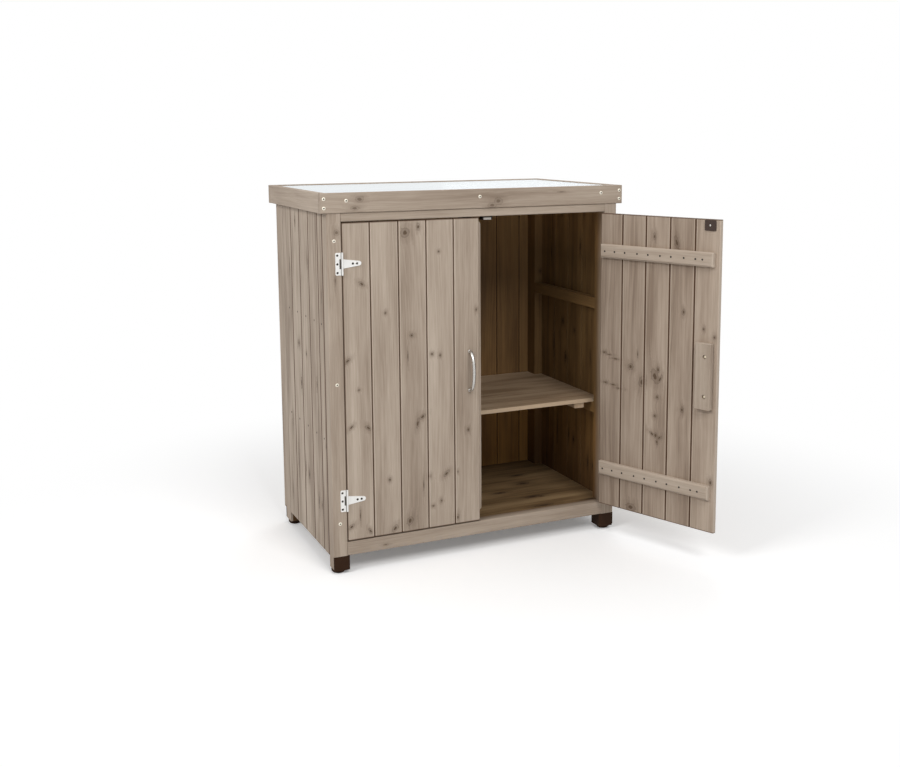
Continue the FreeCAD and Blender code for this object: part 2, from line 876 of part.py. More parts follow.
def make_worktop(screws):
    """Frame of boards on edge round the bearers, the backing panel and the folded metal sheet."""
    inside_left = worktop_left + s.frame_board_thickness
    inside_right = worktop_right - s.frame_board_thickness
    inside_front = worktop_front + s.frame_board_thickness
    inside_rear = worktop_rear - s.frame_board_thickness
    sheet_top = s.overall_height - s.sheet_recess
    backing_top = sheet_top - s.sheet_thickness
    bearer_top = backing_top - s.backing_thickness
    ends = {
        "front": (worktop_front, inside_front),
        "rear": (inside_rear, worktop_rear),
    }
    for end, (low_y, high_y) in ends.items():
        board = stick(
            f"worktop_{end}_board_blank",
            "X",
            (worktop_left, low_y, carcass_top),
            (worktop_right, high_y, s.overall_height),
        )
        keep(cut(f"worktop_{end}_board", board, screws[end]), f"worktop_{end}_board")
    everyone = screws["front"] + screws["rear"]
    sides = {
        "left": (worktop_left, inside_left),
        "right": (inside_right, worktop_right),
    }
    for side, (low_x, high_x) in sides.items():
        board = stick(
            f"worktop_{side}_board_blank",
            "Y",
            (low_x, inside_front, carcass_top),
            (high_x, inside_rear, s.overall_height),
        )
        keep(cut(f"worktop_{side}_board", board, everyone), f"worktop_{side}_board")
    front_inner = inside_front + s.bearer_thickness
    rear_inner = inside_rear - s.bearer_thickness
    middle = (worktop_left + worktop_right) / 2
    half_bearer = s.bearer_thickness / 2
    bearers = [
        cut(
            "front_bearer",
            stick(
                "front_bearer_blank",
                "X",
                (inside_left, inside_front, carcass_top),
                (inside_right, front_inner, bearer_top),
            ),
            screws["front"],
        ),
        cut(
            "rear_bearer",
            stick(
                "rear_bearer_blank",
                "X",
                (inside_left, rear_inner, carcass_top),
                (inside_right, inside_rear, bearer_top),
            ),
            screws["rear"],
        ),
    ]
    cross = {
        "left_bearer": inside_left,
        "middle_bearer": middle - half_bearer,
        "right_bearer": inside_right - s.bearer_thickness,
    }
    for name, low_x in cross.items():
        bearers.append(
            stick(
                name,
                "Y",
                (low_x, front_inner, carcass_top),
                (low_x + s.bearer_thickness, rear_inner, bearer_top),
            )
        )
    keep(group("worktop_bearers", bearers), "worktop_bearers")
    gap = s.sheet_side_gap
    wall = s.sheet_thickness
    low = (inside_left + gap, inside_front + gap, sheet_top - s.sheet_flange)
    high = (inside_right - gap, inside_rear - gap, sheet_top)
    pan = block("metal_worktop_sheet_blank", low, high)
    room = block(
        "metal_worktop_sheet_underside",
        (low[0] + wall, low[1] + wall, low[2] - wall),
        (high[0] - wall, high[1] - wall, backing_top),
    )
    keep(cut("metal_worktop_sheet", pan, [room]), "metal_worktop_sheet")
    keep(
        block(
            "worktop_backing_panel",
            (low[0] + wall, low[1] + wall, bearer_top),
            (high[0] - wall, high[1] - wall, backing_top),
        ),
        "worktop_backing_panel",
    )
    keep(group("worktop_screws", everyone), "worktop_screws")


# Hinges


def pin_x(hand):
    return opening_left + pin_inset if hand > 0 else opening_right - pin_inset


def leaf_corners(hand):
    """Post leaf seen from the front, about the middle of the hinge pin, with the notch for the strap."""
    half = s.hinge_leaf_height / 2
    notch = s.hinge_middle_knuckle / 2 + s.hinge_knuckle_gap
    reach = s.hinge_leaf_reach
    corner = s.hinge_leaf_corner
    deep = s.hinge_leaf_notch_reach
    plan = [
        (as_size(0), -half),
        (as_size(0), -notch),
        (deep, -notch),
        (deep, notch),
        (as_size(0), notch),
        (as_size(0), half),
        (reach - corner, half),
        (reach, half - corner),
        (reach, corner - half),
        (reach - corner, -half),
    ]
    return [(-x * hand, z) for x, z in plan]


def barrel(body, name, low, high):
    """A rolled knuckle about the pin, as a many-sided tube blank."""
    round_pad(body, name, BARREL_SIDES, s.hinge_barrel_radius, low, high)


def make_leaf(name, hand, height, pin, screws):
    body = new_body(f"{name}_blank")
    plate = outline(
        body,
        f"{name}_plate",
        "Y",
        s.hinge_barrel_radius - s.hinge_plate_thickness,
        leaf_corners(hand),
    )
    pad(body, plate, "Y", s.hinge_plate_thickness)
    half = s.hinge_leaf_height / 2
    middle = s.hinge_middle_knuckle / 2 + s.hinge_knuckle_gap
    barrel(body, f"{name}_upper_knuckle", middle, half)
    barrel(body, f"{name}_lower_knuckle", -half, -middle)
    set_place(body, (pin_x(hand), pin_y, height))
    return cut(name, body, [pin] + screws)


def make_pin(name, hand, height):
    """Plain pin that shows a little at each end of the barrel."""
    low = height - s.hinge_leaf_height / 2 - s.hinge_pin_end
    length = s.hinge_leaf_height + 2 * s.hinge_pin_end
    stations = [(as_size(0), s.hinge_pin_radius), (length, s.hinge_pin_radius)]
    return turned(name, BARREL_SIDES, stations, (pin_x(hand), pin_y, low), "-Z")


def leaf_screw_set(name, hand, height):
    screws = []
    for index in (-1, 0, 1):
        screws.append(
            screw(
                f"{name}_{index + 2}",
                (
                    pin_x(hand) - s.hinge_leaf_hole_reach * hand,
                    front_plane - s.hinge_plate_thickness,
                    height + s.hinge_leaf_hole_pitch * index,
                ),
                "-Y",
                s.hinge_screw_head_radius,
                s.hinge_screw_shank_radius,
                s.hinge_screw_length,
            )
        )
    return screws


def strap_corners(hand):
    """Tapered strap seen from the front, about the middle of the pin, with a rounded tip."""
    root = s.hinge_middle_knuckle / 2
    tip = s.hinge_strap_tip_radius
    end = s.hinge_strap_reach - tip
    return [
        (0, -root),
        (end * hand, -tip, tip, hand),
        (s.hinge_strap_reach * hand, 0, tip, hand),
        (end * hand, tip),
        (0, root),
    ]


def strap_screw_set(name, hand, height):
    screws = []
    for index in range(2):
        reach = s.hinge_strap_first_hole + s.hinge_strap_hole_pitch * index
        screws.append(
            screw(
                f"{name}_{index + 1}",
                (reach * hand, door_face - s.hinge_plate_thickness, height),
                "-Y",
                s.hinge_screw_head_radius,
                s.hinge_screw_shank_radius,
                s.hinge_screw_length,
            )
        )
    return screws


def make_strap(name, hand, height, screws):
    """Strap in the door's own plan, where the pin's axis is X 0, Y 0."""
    body = new_body(f"{name}_blank")
    plate = outline(
        body, f"{name}_plate", "Y", door_face - s.hinge_plate_thickness, strap_corners(hand)
    )
    pad(body, plate, "Y", s.hinge_plate_thickness)
    half = s.hinge_middle_knuckle / 2
    barrel(body, f"{name}_knuckle", -half, half)
    set_place(body, (0, 0, height))
    bore = cylinder(
        f"{name}_bore",
        s.hinge_pin_radius + s.hinge_pin_clearance,
        2 * s.hinge_middle_knuckle,
        (0, 0, height - s.hinge_middle_knuckle),
    )
    return cut(name, body, [bore] + screws)


# Doors


def hang(piece, hand):
    """Puts a piece from the door's own plan on its hinge axis, turned as the door stands."""
    if hand > 0:
        set_place(piece, (pin_x(hand), pin_y, 0))
        return piece
    turn = FreeCAD.Rotation(FreeCAD.Vector(0, 0, 1), s.right_door_open_angle.value)
    set_place(piece, (pin_x(hand), pin_y, 0), turn)
    piece.setExpression("Placement.Rotation.Angle", f"{s.right_door_open_angle.text} * 1 deg")
    return piece


def door_span(hand, near, far):
    """Low and high X of a stretch between two distances from the pin."""
    return (near, far) if hand > 0 else (-far, -near)


def make_door_boards(side, hand, drill):
    widths = board_widths(door_width, s.door_board_cover)
    boards = boarding(
        f"{side}_door_board",
        widths,
        s.door_thickness,
        door_base,
        door_top,
        lambda across, through: ((pin_inset + across) * hand, door_face + through),
    )
    drilled = [cut(f"{side}_door_board_{index + 1}_drilled", board, drill) for index, board in enumerate(boards)]
    return group(f"{side}_door_boards", drilled)


def make_batten(name, hand, height, screws):
    """Ledge across the inside of the door, with its inner arrises chamfered all round."""
    low_x, high_x = door_span(hand, pin_inset + s.batten_hinge_inset, pin_inset + door_width - s.batten_free_inset)
    half = s.batten_height / 2
    chamfer = s.batten_chamfer
    back = door_back + s.batten_thickness
    long_body = prism(
        f"{name}_length",
        "X",
        low_x,
        high_x - low_x,
        [
            (door_back, height - half),
            (back - chamfer, height - half),
            (back, height - half + chamfer),
            (back, height + half - chamfer),
            (back - chamfer, height + half),
            (door_back, height + half),
        ],
    )
    ends = prism(
        f"{name}_ends",
        "Z",
        height - half,
        s.batten_height,
        [
            (low_x, door_back),
            (high_x, door_back),
            (high_x, back - chamfer),
            (high_x - chamfer, back),
            (low_x + chamfer, back),
            (low_x, back - chamfer),
        ],
    )
    shaped = document.addObject("Part::MultiCommon", f"{name}_shaped")
    shaped.Shapes = [long_body, ends]
    return cut(name, shaped, screws)


def handle_reach():
    return pin_inset + door_width - s.handle_free_inset


def make_handle_screws(side, hand):
    """Pan-head screws driven from inside the block into the handle's feet."""
    depth = door_back + s.handle_block_thickness - s.handle_screw_bore_depth
    screws = []
    for index in (-1, 1):
        z = handle_height + s.handle_hole_pitch / 2 * index
        place = (handle_reach() * hand, depth, z)
        reach = depth - door_face + s.handle_foot_height
        stations = [
            (-s.handle_screw_head_height, s.handle_screw_head_radius - s.handle_screw_head_round),
            (-s.handle_screw_head_round, s.handle_screw_head_radius),
            (as_size(0), s.handle_screw_head_radius),
        ]
        head = turned(f"{side}_handle_screw_head_{index + 2}", SCREW_SIDES, stations, place, "+Y")
        stations = [(as_size(0), s.handle_screw_shank_radius), (reach, s.handle_screw_shank_radius)]
        shank = turned(f"{side}_handle_screw_shank_{index + 2}", SCREW_SIDES, stations, place, "+Y")
        screws.append(joined(f"{side}_handle_screw_{index + 2}", [head, shank]))
    return screws


def make_handle_block(side, hand, screws):
    near = pin_inset + door_width - s.handle_block_free_inset - s.handle_block_width
    low_x, high_x = door_span(hand, near, near + s.handle_block_width)
    back = door_back + s.handle_block_thickness
    blank = stick(
        f"{side}_door_handle_block_blank",
        "Z",
        (low_x, door_back, handle_height - s.handle_block_height / 2),
        (high_x, back, handle_height + s.handle_block_height / 2),
    )
    bores = [
        cylinder(
            f"{side}_handle_screw_bore_{index + 2}",
            s.handle_screw_bore_radius,
            s.handle_screw_bore_depth,
            (
                handle_reach() * hand,
                back - s.handle_screw_bore_depth,
                handle_height + s.handle_hole_pitch / 2 * index,
            ),
            FACING["+Y"],
        )
        for index in (-1, 1)
    ]
    return cut(f"{side}_door_handle_block", blank, bores + screws)


def make_handle(side, hand, screws):
    """Bow handle: a round bar that swells to its middle, on two round feet."""
    half = s.handle_hole_pitch / 2
    rise = s.handle_projection - s.handle_foot_height
    foot_y = door_face - s.handle_foot_height
    sections = []
    for index in range(HANDLE_STATIONS):
        turn = math.radians(-90.0 + 180.0 * index / (HANDLE_STATIONS - 1))
        along = math.sin(turn)
        out = math.cos(turn)
        lean = math.degrees(math.atan2(-rise.value * along, half.value * out))
        radius = s.handle_end_radius + (s.handle_middle_radius - s.handle_end_radius) * out
        place = (handle_reach() * hand, foot_y - rise * out, handle_height + half * along)
        tilt = FreeCAD.Rotation(FreeCAD.Vector(1, 0, 0), lean)
        sections.append(many_sided(f"{side}_handle_ring_{index + 1}", HANDLE_SIDES, radius, place, tilt))
    bow = lofted(f"{side}_handle_bow", sections)
    stations = [(as_size(0), s.handle_foot_radius), (s.handle_foot_height, s.handle_foot_radius)]
    feet = [
        turned(
            f"{side}_handle_foot_{index + 2}",
            HANDLE_SIDES,
            stations,
            (handle_reach() * hand, foot_y, handle_height + half * index),
            "-Y",
        )
        for index in (-1, 1)
    ]
    return cut(f"{side}_door_handle", joined(f"{side}_handle_blank", [bow] + feet), screws)


def make_cover_strip(hand):
    """Strip behind the left door's free edge that closes the gap between the doors."""
    reach = pin_inset + door_width + s.door_meeting_gap + s.cover_strip_overlap
    near = reach - s.cover_strip_width
    edge = pin_inset + door_width
    low = door_base + s.cover_strip_bottom_gap
    high = door_top - s.cover_strip_end_gap
    corner = s.cover_strip_corner
    corners = [
        (near * hand, low),
        ((reach - corner) * hand, low, corner, hand),
        (reach * hand, low + corner),
        (reach * hand, high - corner, corner, hand),
        ((reach - corner) * hand, high),
        (near * hand, high),
    ]
    blank = prism("left_door_cover_strip_blank", "Y", door_back, s.cover_strip_thickness, corners)
    relief = block(
        "left_door_cover_strip_relief",
        (edge, door_back, low),
        (reach, door_back + s.cover_strip_relief, high),
    )
    return cut("left_door_cover_strip", blank, [relief])


def striker_span(hand):
    centre = pin_inset + door_width + s.door_meeting_gap / 2 - s.catch_from_meeting
    return door_span(hand, centre - s.striker_length / 2, centre + s.striker_length / 2)


def make_striker(side, hand):
    low_x, high_x = striker_span(hand)
    top = door_top - s.striker_top_gap
    return stick(
        f"{side}_door_striker_plate",
        "Y",
        (low_x, door_back, top - s.striker_height),
        (high_x, door_back + s.striker_thickness, top),
    )


def make_door(side, hand):
    heights = {"upper": upper_hinge_height, "lower": lower_hinge_height}
    screws = {level: strap_screw_set(f"{side}_{level}_strap_screw", hand, z) for level, z in heights.items()}
    handle_screws = make_handle_screws(side, hand)
    all_screws = screws["upper"] + screws["lower"] + handle_screws
    keep(hang(make_door_boards(side, hand, all_screws), hand), f"{side}_door_boards")
    for level, z in heights.items():
        name = f"{side}_door_{level}_batten"
        keep(hang(make_batten(name, hand, z, screws[level]), hand), name)
    keep(hang(make_handle_block(side, hand, handle_screws), hand), f"{side}_door_handle_block")
    keep(hang(make_handle(side, hand, handle_screws), hand), f"{side}_door_handle")
    keep(hang(make_striker(side, hand), hand), f"{side}_door_striker_plate")
    straps = [make_strap(f"{side}_{level}_strap", hand, z, screws[level]) for level, z in heights.items()]
    keep(hang(group(f"{side}_door_hinge_straps", straps), hand), f"{side}_door_hinge_straps")
    keep(
        hang(group(f"{side}_door_strap_screws", screws["upper"] + screws["lower"]), hand),
        f"{side}_door_strap_screws",
    )
    keep(hang(group(f"{side}_door_handle_screws", handle_screws), hand), f"{side}_door_handle_screws")
    if hand > 0:
        keep(hang(make_cover_strip(hand), hand), "left_door_cover_strip")


def make_post_hinges():
    """The leaves, pins and leaf screws of the four hinges. Gives back the screws of each side."""
    leaves = []
    pins = []
    screws = {1: [], -1: []}
    for side, hand in (("left", 1), ("right", -1)):
        for level, height in (("upper", upper_hinge_height), ("lower", lower_hinge_height)):
            name = f"{side}_{level}"
            pin = make_pin(f"{name}_hinge_pin", hand, height)
            leaf_screws = leaf_screw_set(f"{name}_leaf_screw", hand, height)
            leaves.append(make_leaf(f"{name}_leaf", hand, height, pin, leaf_screws))
            pins.append(pin)
            screws[hand] += leaf_screws
    keep(group("hinge_post_leaves", leaves), "hinge_post_leaves")
    keep(group("hinge_pins", pins), "hinge_pins")
    keep(group("hinge_leaf_screws", screws[1] + screws[-1]), "hinge_leaf_screws")
    return screws


# Catches


def make_catches():
    """Two magnetic catches under the header, each a housing with a magnet between two pole plates."""
    striker_back = pin_y + door_back + s.striker_thickness
    plate_front = striker_back + s.striker_free_gap
    housing_front = plate_front + s.catch_plate_reach
    housing_back = housing_front + s.catch_depth
    middle_x = (opening_left + opening_right) / 2
    top = header_base
    base = top - s.catch_height
    magnet_base = base + s.catch_plate_rise + s.catch_plate_thickness
    magnet_top = magnet_base + s.catch_magnet_height
    half_magnet = s.catch_magnet_length / 2
    half_body = s.catch_body_length / 2
    half_length = s.catch_length / 2
    plate_back = housing_back - 2 * s.catch_plate_thickness
    housings = []
    magnets = []
    plates = []
    for side, sign in (("left", -1), ("right", 1)):
        x = middle_x + s.catch_from_meeting * sign
        core = stick(
            f"{side}_catch_body",
            "Y",
            (x - half_body, housing_front, base),
            (x + half_body, housing_back, top),
        )
        ears = block(
            f"{side}_catch_ears",
            (x - half_length, housing_front + s.catch_ear_thickness, top - s.catch_ear_thickness),
            (x + half_length, housing_back - s.catch_ear_thickness, top),
        )
        magnet = block(
            f"{side}_catch_magnet",
            (x - half_magnet, housing_front, magnet_base),
            (x + half_magnet, plate_back, magnet_top),
        )
        pair = [
            block(
                f"{side}_catch_plate_{index}",
                (x - half_magnet, plate_front, low),
                (x + half_magnet, plate_back, low + s.catch_plate_thickness),
            )
            for index, low in enumerate((magnet_base - s.catch_plate_thickness, magnet_top))
        ]
        housings.append(cut(f"{side}_catch_housing", joined(f"{side}_catch_blank", [core, ears]), [magnet] + pair))
        magnets.append(magnet)
        plates += pair
    keep(group("catch_housings", housings), "catch_housings")
    keep(group("catch_magnets", magnets), "catch_magnets")
    keep(group("catch_pole_plates", plates), "catch_pole_plates")


# Checks and files


def check_document():
    document.recompute()
    for thing in document.Objects:
        if "Invalid" in thing.State or "Error" in thing.State:
            raise RuntimeError(f"{thing.Label} failed: {thing.State}")
    for piece in subparts:
        shape = piece.Shape
        if shape.isNull() or not shape.isValid() or not shape.Solids:
            raise RuntimeError(f"{piece.Label} has no sound solid")


def write_parts():
    os.makedirs("parts", exist_ok=True)
    for piece in subparts:
        piece.Shape.exportStep(f"parts/{piece.Label}.step")
    print(len(subparts), "sub-parts,", sum(len(piece.Shape.Solids) for piece in subparts), "solids")


frame_screws = make_frame_screws()
hinge_screws = make_post_hinges()
make_corners(hinge_screws)
make_rails()
make_side_boards()
make_rear_wall()
make_floor_and_shelf()
make_worktop(frame_screws)
make_door("left", 1)
make_door("right", -1)
make_catches()
check_document()
write_parts()
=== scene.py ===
import math

import bmesh
import bpy
from mathutils import Matrix, Vector


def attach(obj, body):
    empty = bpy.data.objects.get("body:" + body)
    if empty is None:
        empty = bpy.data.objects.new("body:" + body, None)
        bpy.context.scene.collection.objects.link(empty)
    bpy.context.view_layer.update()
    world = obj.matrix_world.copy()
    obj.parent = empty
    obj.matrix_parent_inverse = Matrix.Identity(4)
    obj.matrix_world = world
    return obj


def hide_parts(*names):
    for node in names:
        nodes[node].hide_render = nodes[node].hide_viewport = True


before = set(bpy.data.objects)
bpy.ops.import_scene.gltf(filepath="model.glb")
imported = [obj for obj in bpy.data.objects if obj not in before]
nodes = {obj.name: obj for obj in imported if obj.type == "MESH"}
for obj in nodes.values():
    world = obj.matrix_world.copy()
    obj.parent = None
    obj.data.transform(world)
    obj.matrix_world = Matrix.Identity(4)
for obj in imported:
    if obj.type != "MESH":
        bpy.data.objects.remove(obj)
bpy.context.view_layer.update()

# Lengths are in metres, in the cabinet's own frame: X to the right, Y to the back, Z up. Its origin is on the ground,
# under the middle of the front left post.
MIDDLE = 0.364
RIGHT_POST = 0.728
POST_FACE = -0.0225
FRAME_FACE, FRAME_BACK = -0.0255, 0.4345
LEFT_FACE, RIGHT_FACE = -0.017, 0.745
LEAF_FACE = -0.0240
LEFT_PIN = (0.01775, -0.0251)
RIGHT_PIN = (0.71025, -0.0251)
HINGE_HEIGHTS = (0.738, 0.178)
DOOR_TOP, DOOR_BOTTOM = 0.8315, 0.0790
DOOR_OPEN = math.radians(112)

# Places on a door, in its own plan: X from the pin across the door, Y from the pin to the door's back
STRAP_FACE = 0.0011
DOOR_FACE = 0.0026
BATTEN_FACE = 0.0296
BATTEN_HALF = 0.017
STRIKER_FACE = 0.0176
STRIKER_REACH, STRIKER_HEIGHT = 0.3175, 0.8175
HANDLE_REACH, HANDLE_HEIGHT = 0.31775, 0.46025

TO_FRONT, TO_BACK = (0, -1, 0), (0, 1, 0)
TO_LEFT, TO_RIGHT = (-1, 0, 0), (1, 0, 0)


# Shader arithmetic


class Value:
    """A number or colour that comes out of a shader node."""

    def __init__(self, shader, socket):
        self.shader = shader
        self.socket = socket

    def math(self, operation, *others):
        inputs = dict(enumerate((self, *others)))
        return self.shader.node("ShaderNodeMath", {"operation": operation}, inputs)

    def __add__(self, other):
        return self.math("ADD", other)

    __radd__ = __add__

    def __sub__(self, other):
        return self.math("SUBTRACT", other)

    def __rsub__(self, other):
        return self.shader.node("ShaderNodeMath", {"operation": "SUBTRACT"}, {0: other, 1: self})

    def __mul__(self, other):
        return self.math("MULTIPLY", other)

    __rmul__ = __mul__

    def __truediv__(self, other):
        return self.math("DIVIDE", other)

    def floor(self):
        return self.math("FLOOR")

    def fract(self):
        return self.math("FRACT")

    def abs(self):
        return self.math("ABSOLUTE")

    def sqrt(self):
        return self.math("SQRT")

    def least(self, other):
        return self.math("MINIMUM", other)

    def most(self, other):
        return self.math("MAXIMUM", other)

    def step(self, low, high):
        """0 below low, 1 above high and a smooth rise between them; low may be the greater."""
        settings = {"interpolation_type": "SMOOTHSTEP", "clamp": True}
        ends = (0.0, 1.0) if low < high else (1.0, 0.0)
        inputs = {0: self, 1: min(low, high), 2: max(low, high), 3: ends[0], 4: ends[1]}
        return self.shader.node("ShaderNodeMapRange", settings, inputs)

    def band(self, half, soft):
        """1 within half of zero on both sides, and 0 beyond, with an edge so soft."""
        return self.abs().step(half + soft, half - soft)


class Shader:
    """The nodes of a material or of the world being put together, with one method that makes any of them."""

    def __init__(self, owner, output="ShaderNodeOutputMaterial"):
        owner.use_nodes = True
        self.owner = owner
        self.tree = owner.node_tree
        self.tree.nodes.clear()
        self.output = self.tree.nodes.new(output)

    def node(self, kind, settings, inputs, out=0):
        made = self.tree.nodes.new(kind)
        for key, setting in settings.items():
            if key == "stops":
                self.set_stops(made.color_ramp, setting)
            else:
                setattr(made, key, setting)
        for key, item in inputs.items():
            if isinstance(item, Value):
                self.tree.links.new(item.socket, made.inputs[key])
            else:
                made.inputs[key].default_value = item
        return Value(self, made.outputs[out])

    def set_stops(self, ramp, stops):
        while len(ramp.elements) < len(stops):
            ramp.elements.new(0.5)
        for element, (position, colour) in zip(ramp.elements, stops):
            element.position = position
            element.color = colour

    def coordinates(self, turn=0.0, about=(0, 0)):
        """Object coordinates, whole and as X, Y and Z, turned back about an upright line where a door stands open."""
        place = self.node("ShaderNodeTexCoord", {}, {}, "Object")
        if turn:
            c, s = math.cos(-turn), math.sin(-turn)
            shift = (about[0] - c * about[0] + s * about[1], about[1] - s * about[0] - c * about[1], 0)
            inputs = {0: place, "Location": shift, "Rotation": (0, 0, -turn)}
            place = self.node("ShaderNodeMapping", {"vector_type": "POINT"}, inputs)
        return place, [self.node("ShaderNodeSeparateXYZ", {}, {0: place}, index) for index in range(3)]

    def join(self, x, y, z):
        return self.node("ShaderNodeCombineXYZ", {}, {0: x, 1: y, 2: z})

    def noise(self, place, scale, detail=2.0, roughness=0.5, distortion=0.0):
        inputs = {"Vector": place, "Scale": scale, "Detail": detail, "Roughness": roughness, "Distortion": distortion}
        return self.node("ShaderNodeTexNoise", {"noise_dimensions": "3D"}, inputs, "Fac")

    def cells(self, place, scale, randomness, out):
        """The nearest of many scattered points: its Distance, or its own Color."""
        settings = {"voronoi_dimensions": "3D", "feature": "F1", "distance": "EUCLIDEAN"}
        inputs = {"Vector": place, "Scale": scale, "Randomness": randomness}
        return self.node("ShaderNodeTexVoronoi", settings, inputs, out)

    def first_part(self, colour):
        return self.node("ShaderNodeSeparateColor", {}, {0: colour}, 0)

    def random(self, number):
        return self.node("ShaderNodeTexWhiteNoise", {"noise_dimensions": "1D"}, {"W": number}, "Value")

    def mix(self, amount, first, second, blend="MIX"):
        settings = {"data_type": "RGBA", "blend_type": blend, "clamp_factor": True}
        return self.node("ShaderNodeMix", settings, {0: amount, 6: first, 7: second}, 2)

    def darken(self, amount, colour, times):
        """Multiplies a colour by another, as far as amount says."""
        return self.mix(amount, colour, self.mix(1.0, colour, times, "MULTIPLY"))

    def ramp(self, amount, stops):
        return self.node("ShaderNodeValToRGB", {"stops": stops}, {0: amount}, "Color")

    def bump(self, height, strength, distance):
        return self.node("ShaderNodeBump", {}, {"Strength": strength, "Distance": distance, "Height": height}, "Normal")

    def seen(self):
        """1 for what is looked at, straight, in a reflection or through glass, and 0 for light that falls on it."""
        rays = ("Is Camera Ray", "Is Glossy Ray", "Is Transmission Ray")
        straight, mirrored, through = [self.node("ShaderNodeLightPath", {}, {}, ray) for ray in rays]
        return straight.most(mirrored).most(through)

    def end(self, surface):
        self.tree.links.new(surface.socket, self.output.inputs["Surface"])
        return self.owner

    def finish(self, **inputs):
        """Ends the material in one surface shader; names use _ for a space."""
        names = {key.replace("_", " "): item for key, item in inputs.items()}
        return self.end(self.node("ShaderNodeBsdfPrincipled", {}, names))


def new_material(name):
    return Shader(bpy.data.materials.new(name))


def srgb(red, green, blue):
    """A colour as read off a screen, 0 to 255, in the shader's own terms."""
    parts = []
    for value in (red, green, blue):
        value = value / 255
        parts.append(value / 12.92 if value <= 0.04045 else ((value + 0.055) / 1.055) ** 2.4)
    return (*parts, 1.0)


# Wood

OUTER = {
    "light": srgb(190, 175, 159),
    "middle": srgb(171, 155, 139),
    "dark": srgb(144, 127, 111),
    "knot": srgb(88, 70, 54),
    "groove": srgb(80, 54, 32),
}
FRONT = {
    "light": srgb(183, 168, 152),
    "middle": srgb(164, 148, 132),
    "dark": srgb(138, 121, 105),
    "knot": srgb(86, 68, 52),
    "groove": srgb(80, 54, 32),
}
# A browner, darker copy of the outer tones: painted shade of the cabinet's inside, for the shelf
SHELF_SHADED = {
    "light": srgb(184, 161, 134),
    "middle": srgb(164, 140, 114),
    "dark": srgb(132, 108, 83),
    "knot": srgb(84, 62, 44),
    "groove": srgb(80, 54, 32),
}
# A darker, browner copy of the outer tones: painted shade of the cabinet's inside, for its floor and hidden parts
INNER_SHADED = {
    "light": srgb(150, 124, 90),
    "middle": srgb(127, 102, 70),
    "dark": srgb(96, 73, 46),
    "knot": srgb(50, 32, 18),
    "groove": srgb(44, 27, 14),
}
# Painted shade inside the cabinet, darker and browner by height: height above the ground, and what the wood's colour is
# multiplied by there
SIDE_PAINTED_SHADE = (
    (0.06, (0.24, 0.14, 0.055, 1.0)), (0.13, (0.34, 0.21, 0.085, 1.0)), (0.27, (0.56, 0.36, 0.14, 1.0)),
    (0.33, (0.38, 0.26, 0.11, 1.0)), (0.70, (0.40, 0.275, 0.12, 1.0)), (0.80, (0.74, 0.50, 0.23, 1.0)),
)
REAR_PAINTED_SHADE = (
    (0.28, (0.80, 0.50, 0.17, 1.0)), (0.34, (0.42, 0.28, 0.12, 1.0)), (0.62, (0.50, 0.34, 0.16, 1.0)),
    (0.72, (0.66, 0.45, 0.21, 1.0)), (0.80, (0.86, 0.60, 0.29, 1.0)),
)
# Painted shade that a door's inside face is multiplied by
DOOR_BACK_PAINTED_SHADE = (0.90, 0.87, 0.85, 1.0)

# How softly a drawn line ends, how far a groove wanders, and how far from its edge the painted highlight lies
LINE_EDGE = 0.0004
GROOVE_WANDER = 0.0012
HIGHLIGHT_OFFSET = 0.0016

# How many spots there are to the metre where a wild knot may lie, and the size of a knot in such a spot
SPOTS_ACROSS, SPOTS_THROUGH, SPOTS_ALONG = 11.0, 3.0, 3.4
WILD_KNOT = 0.055


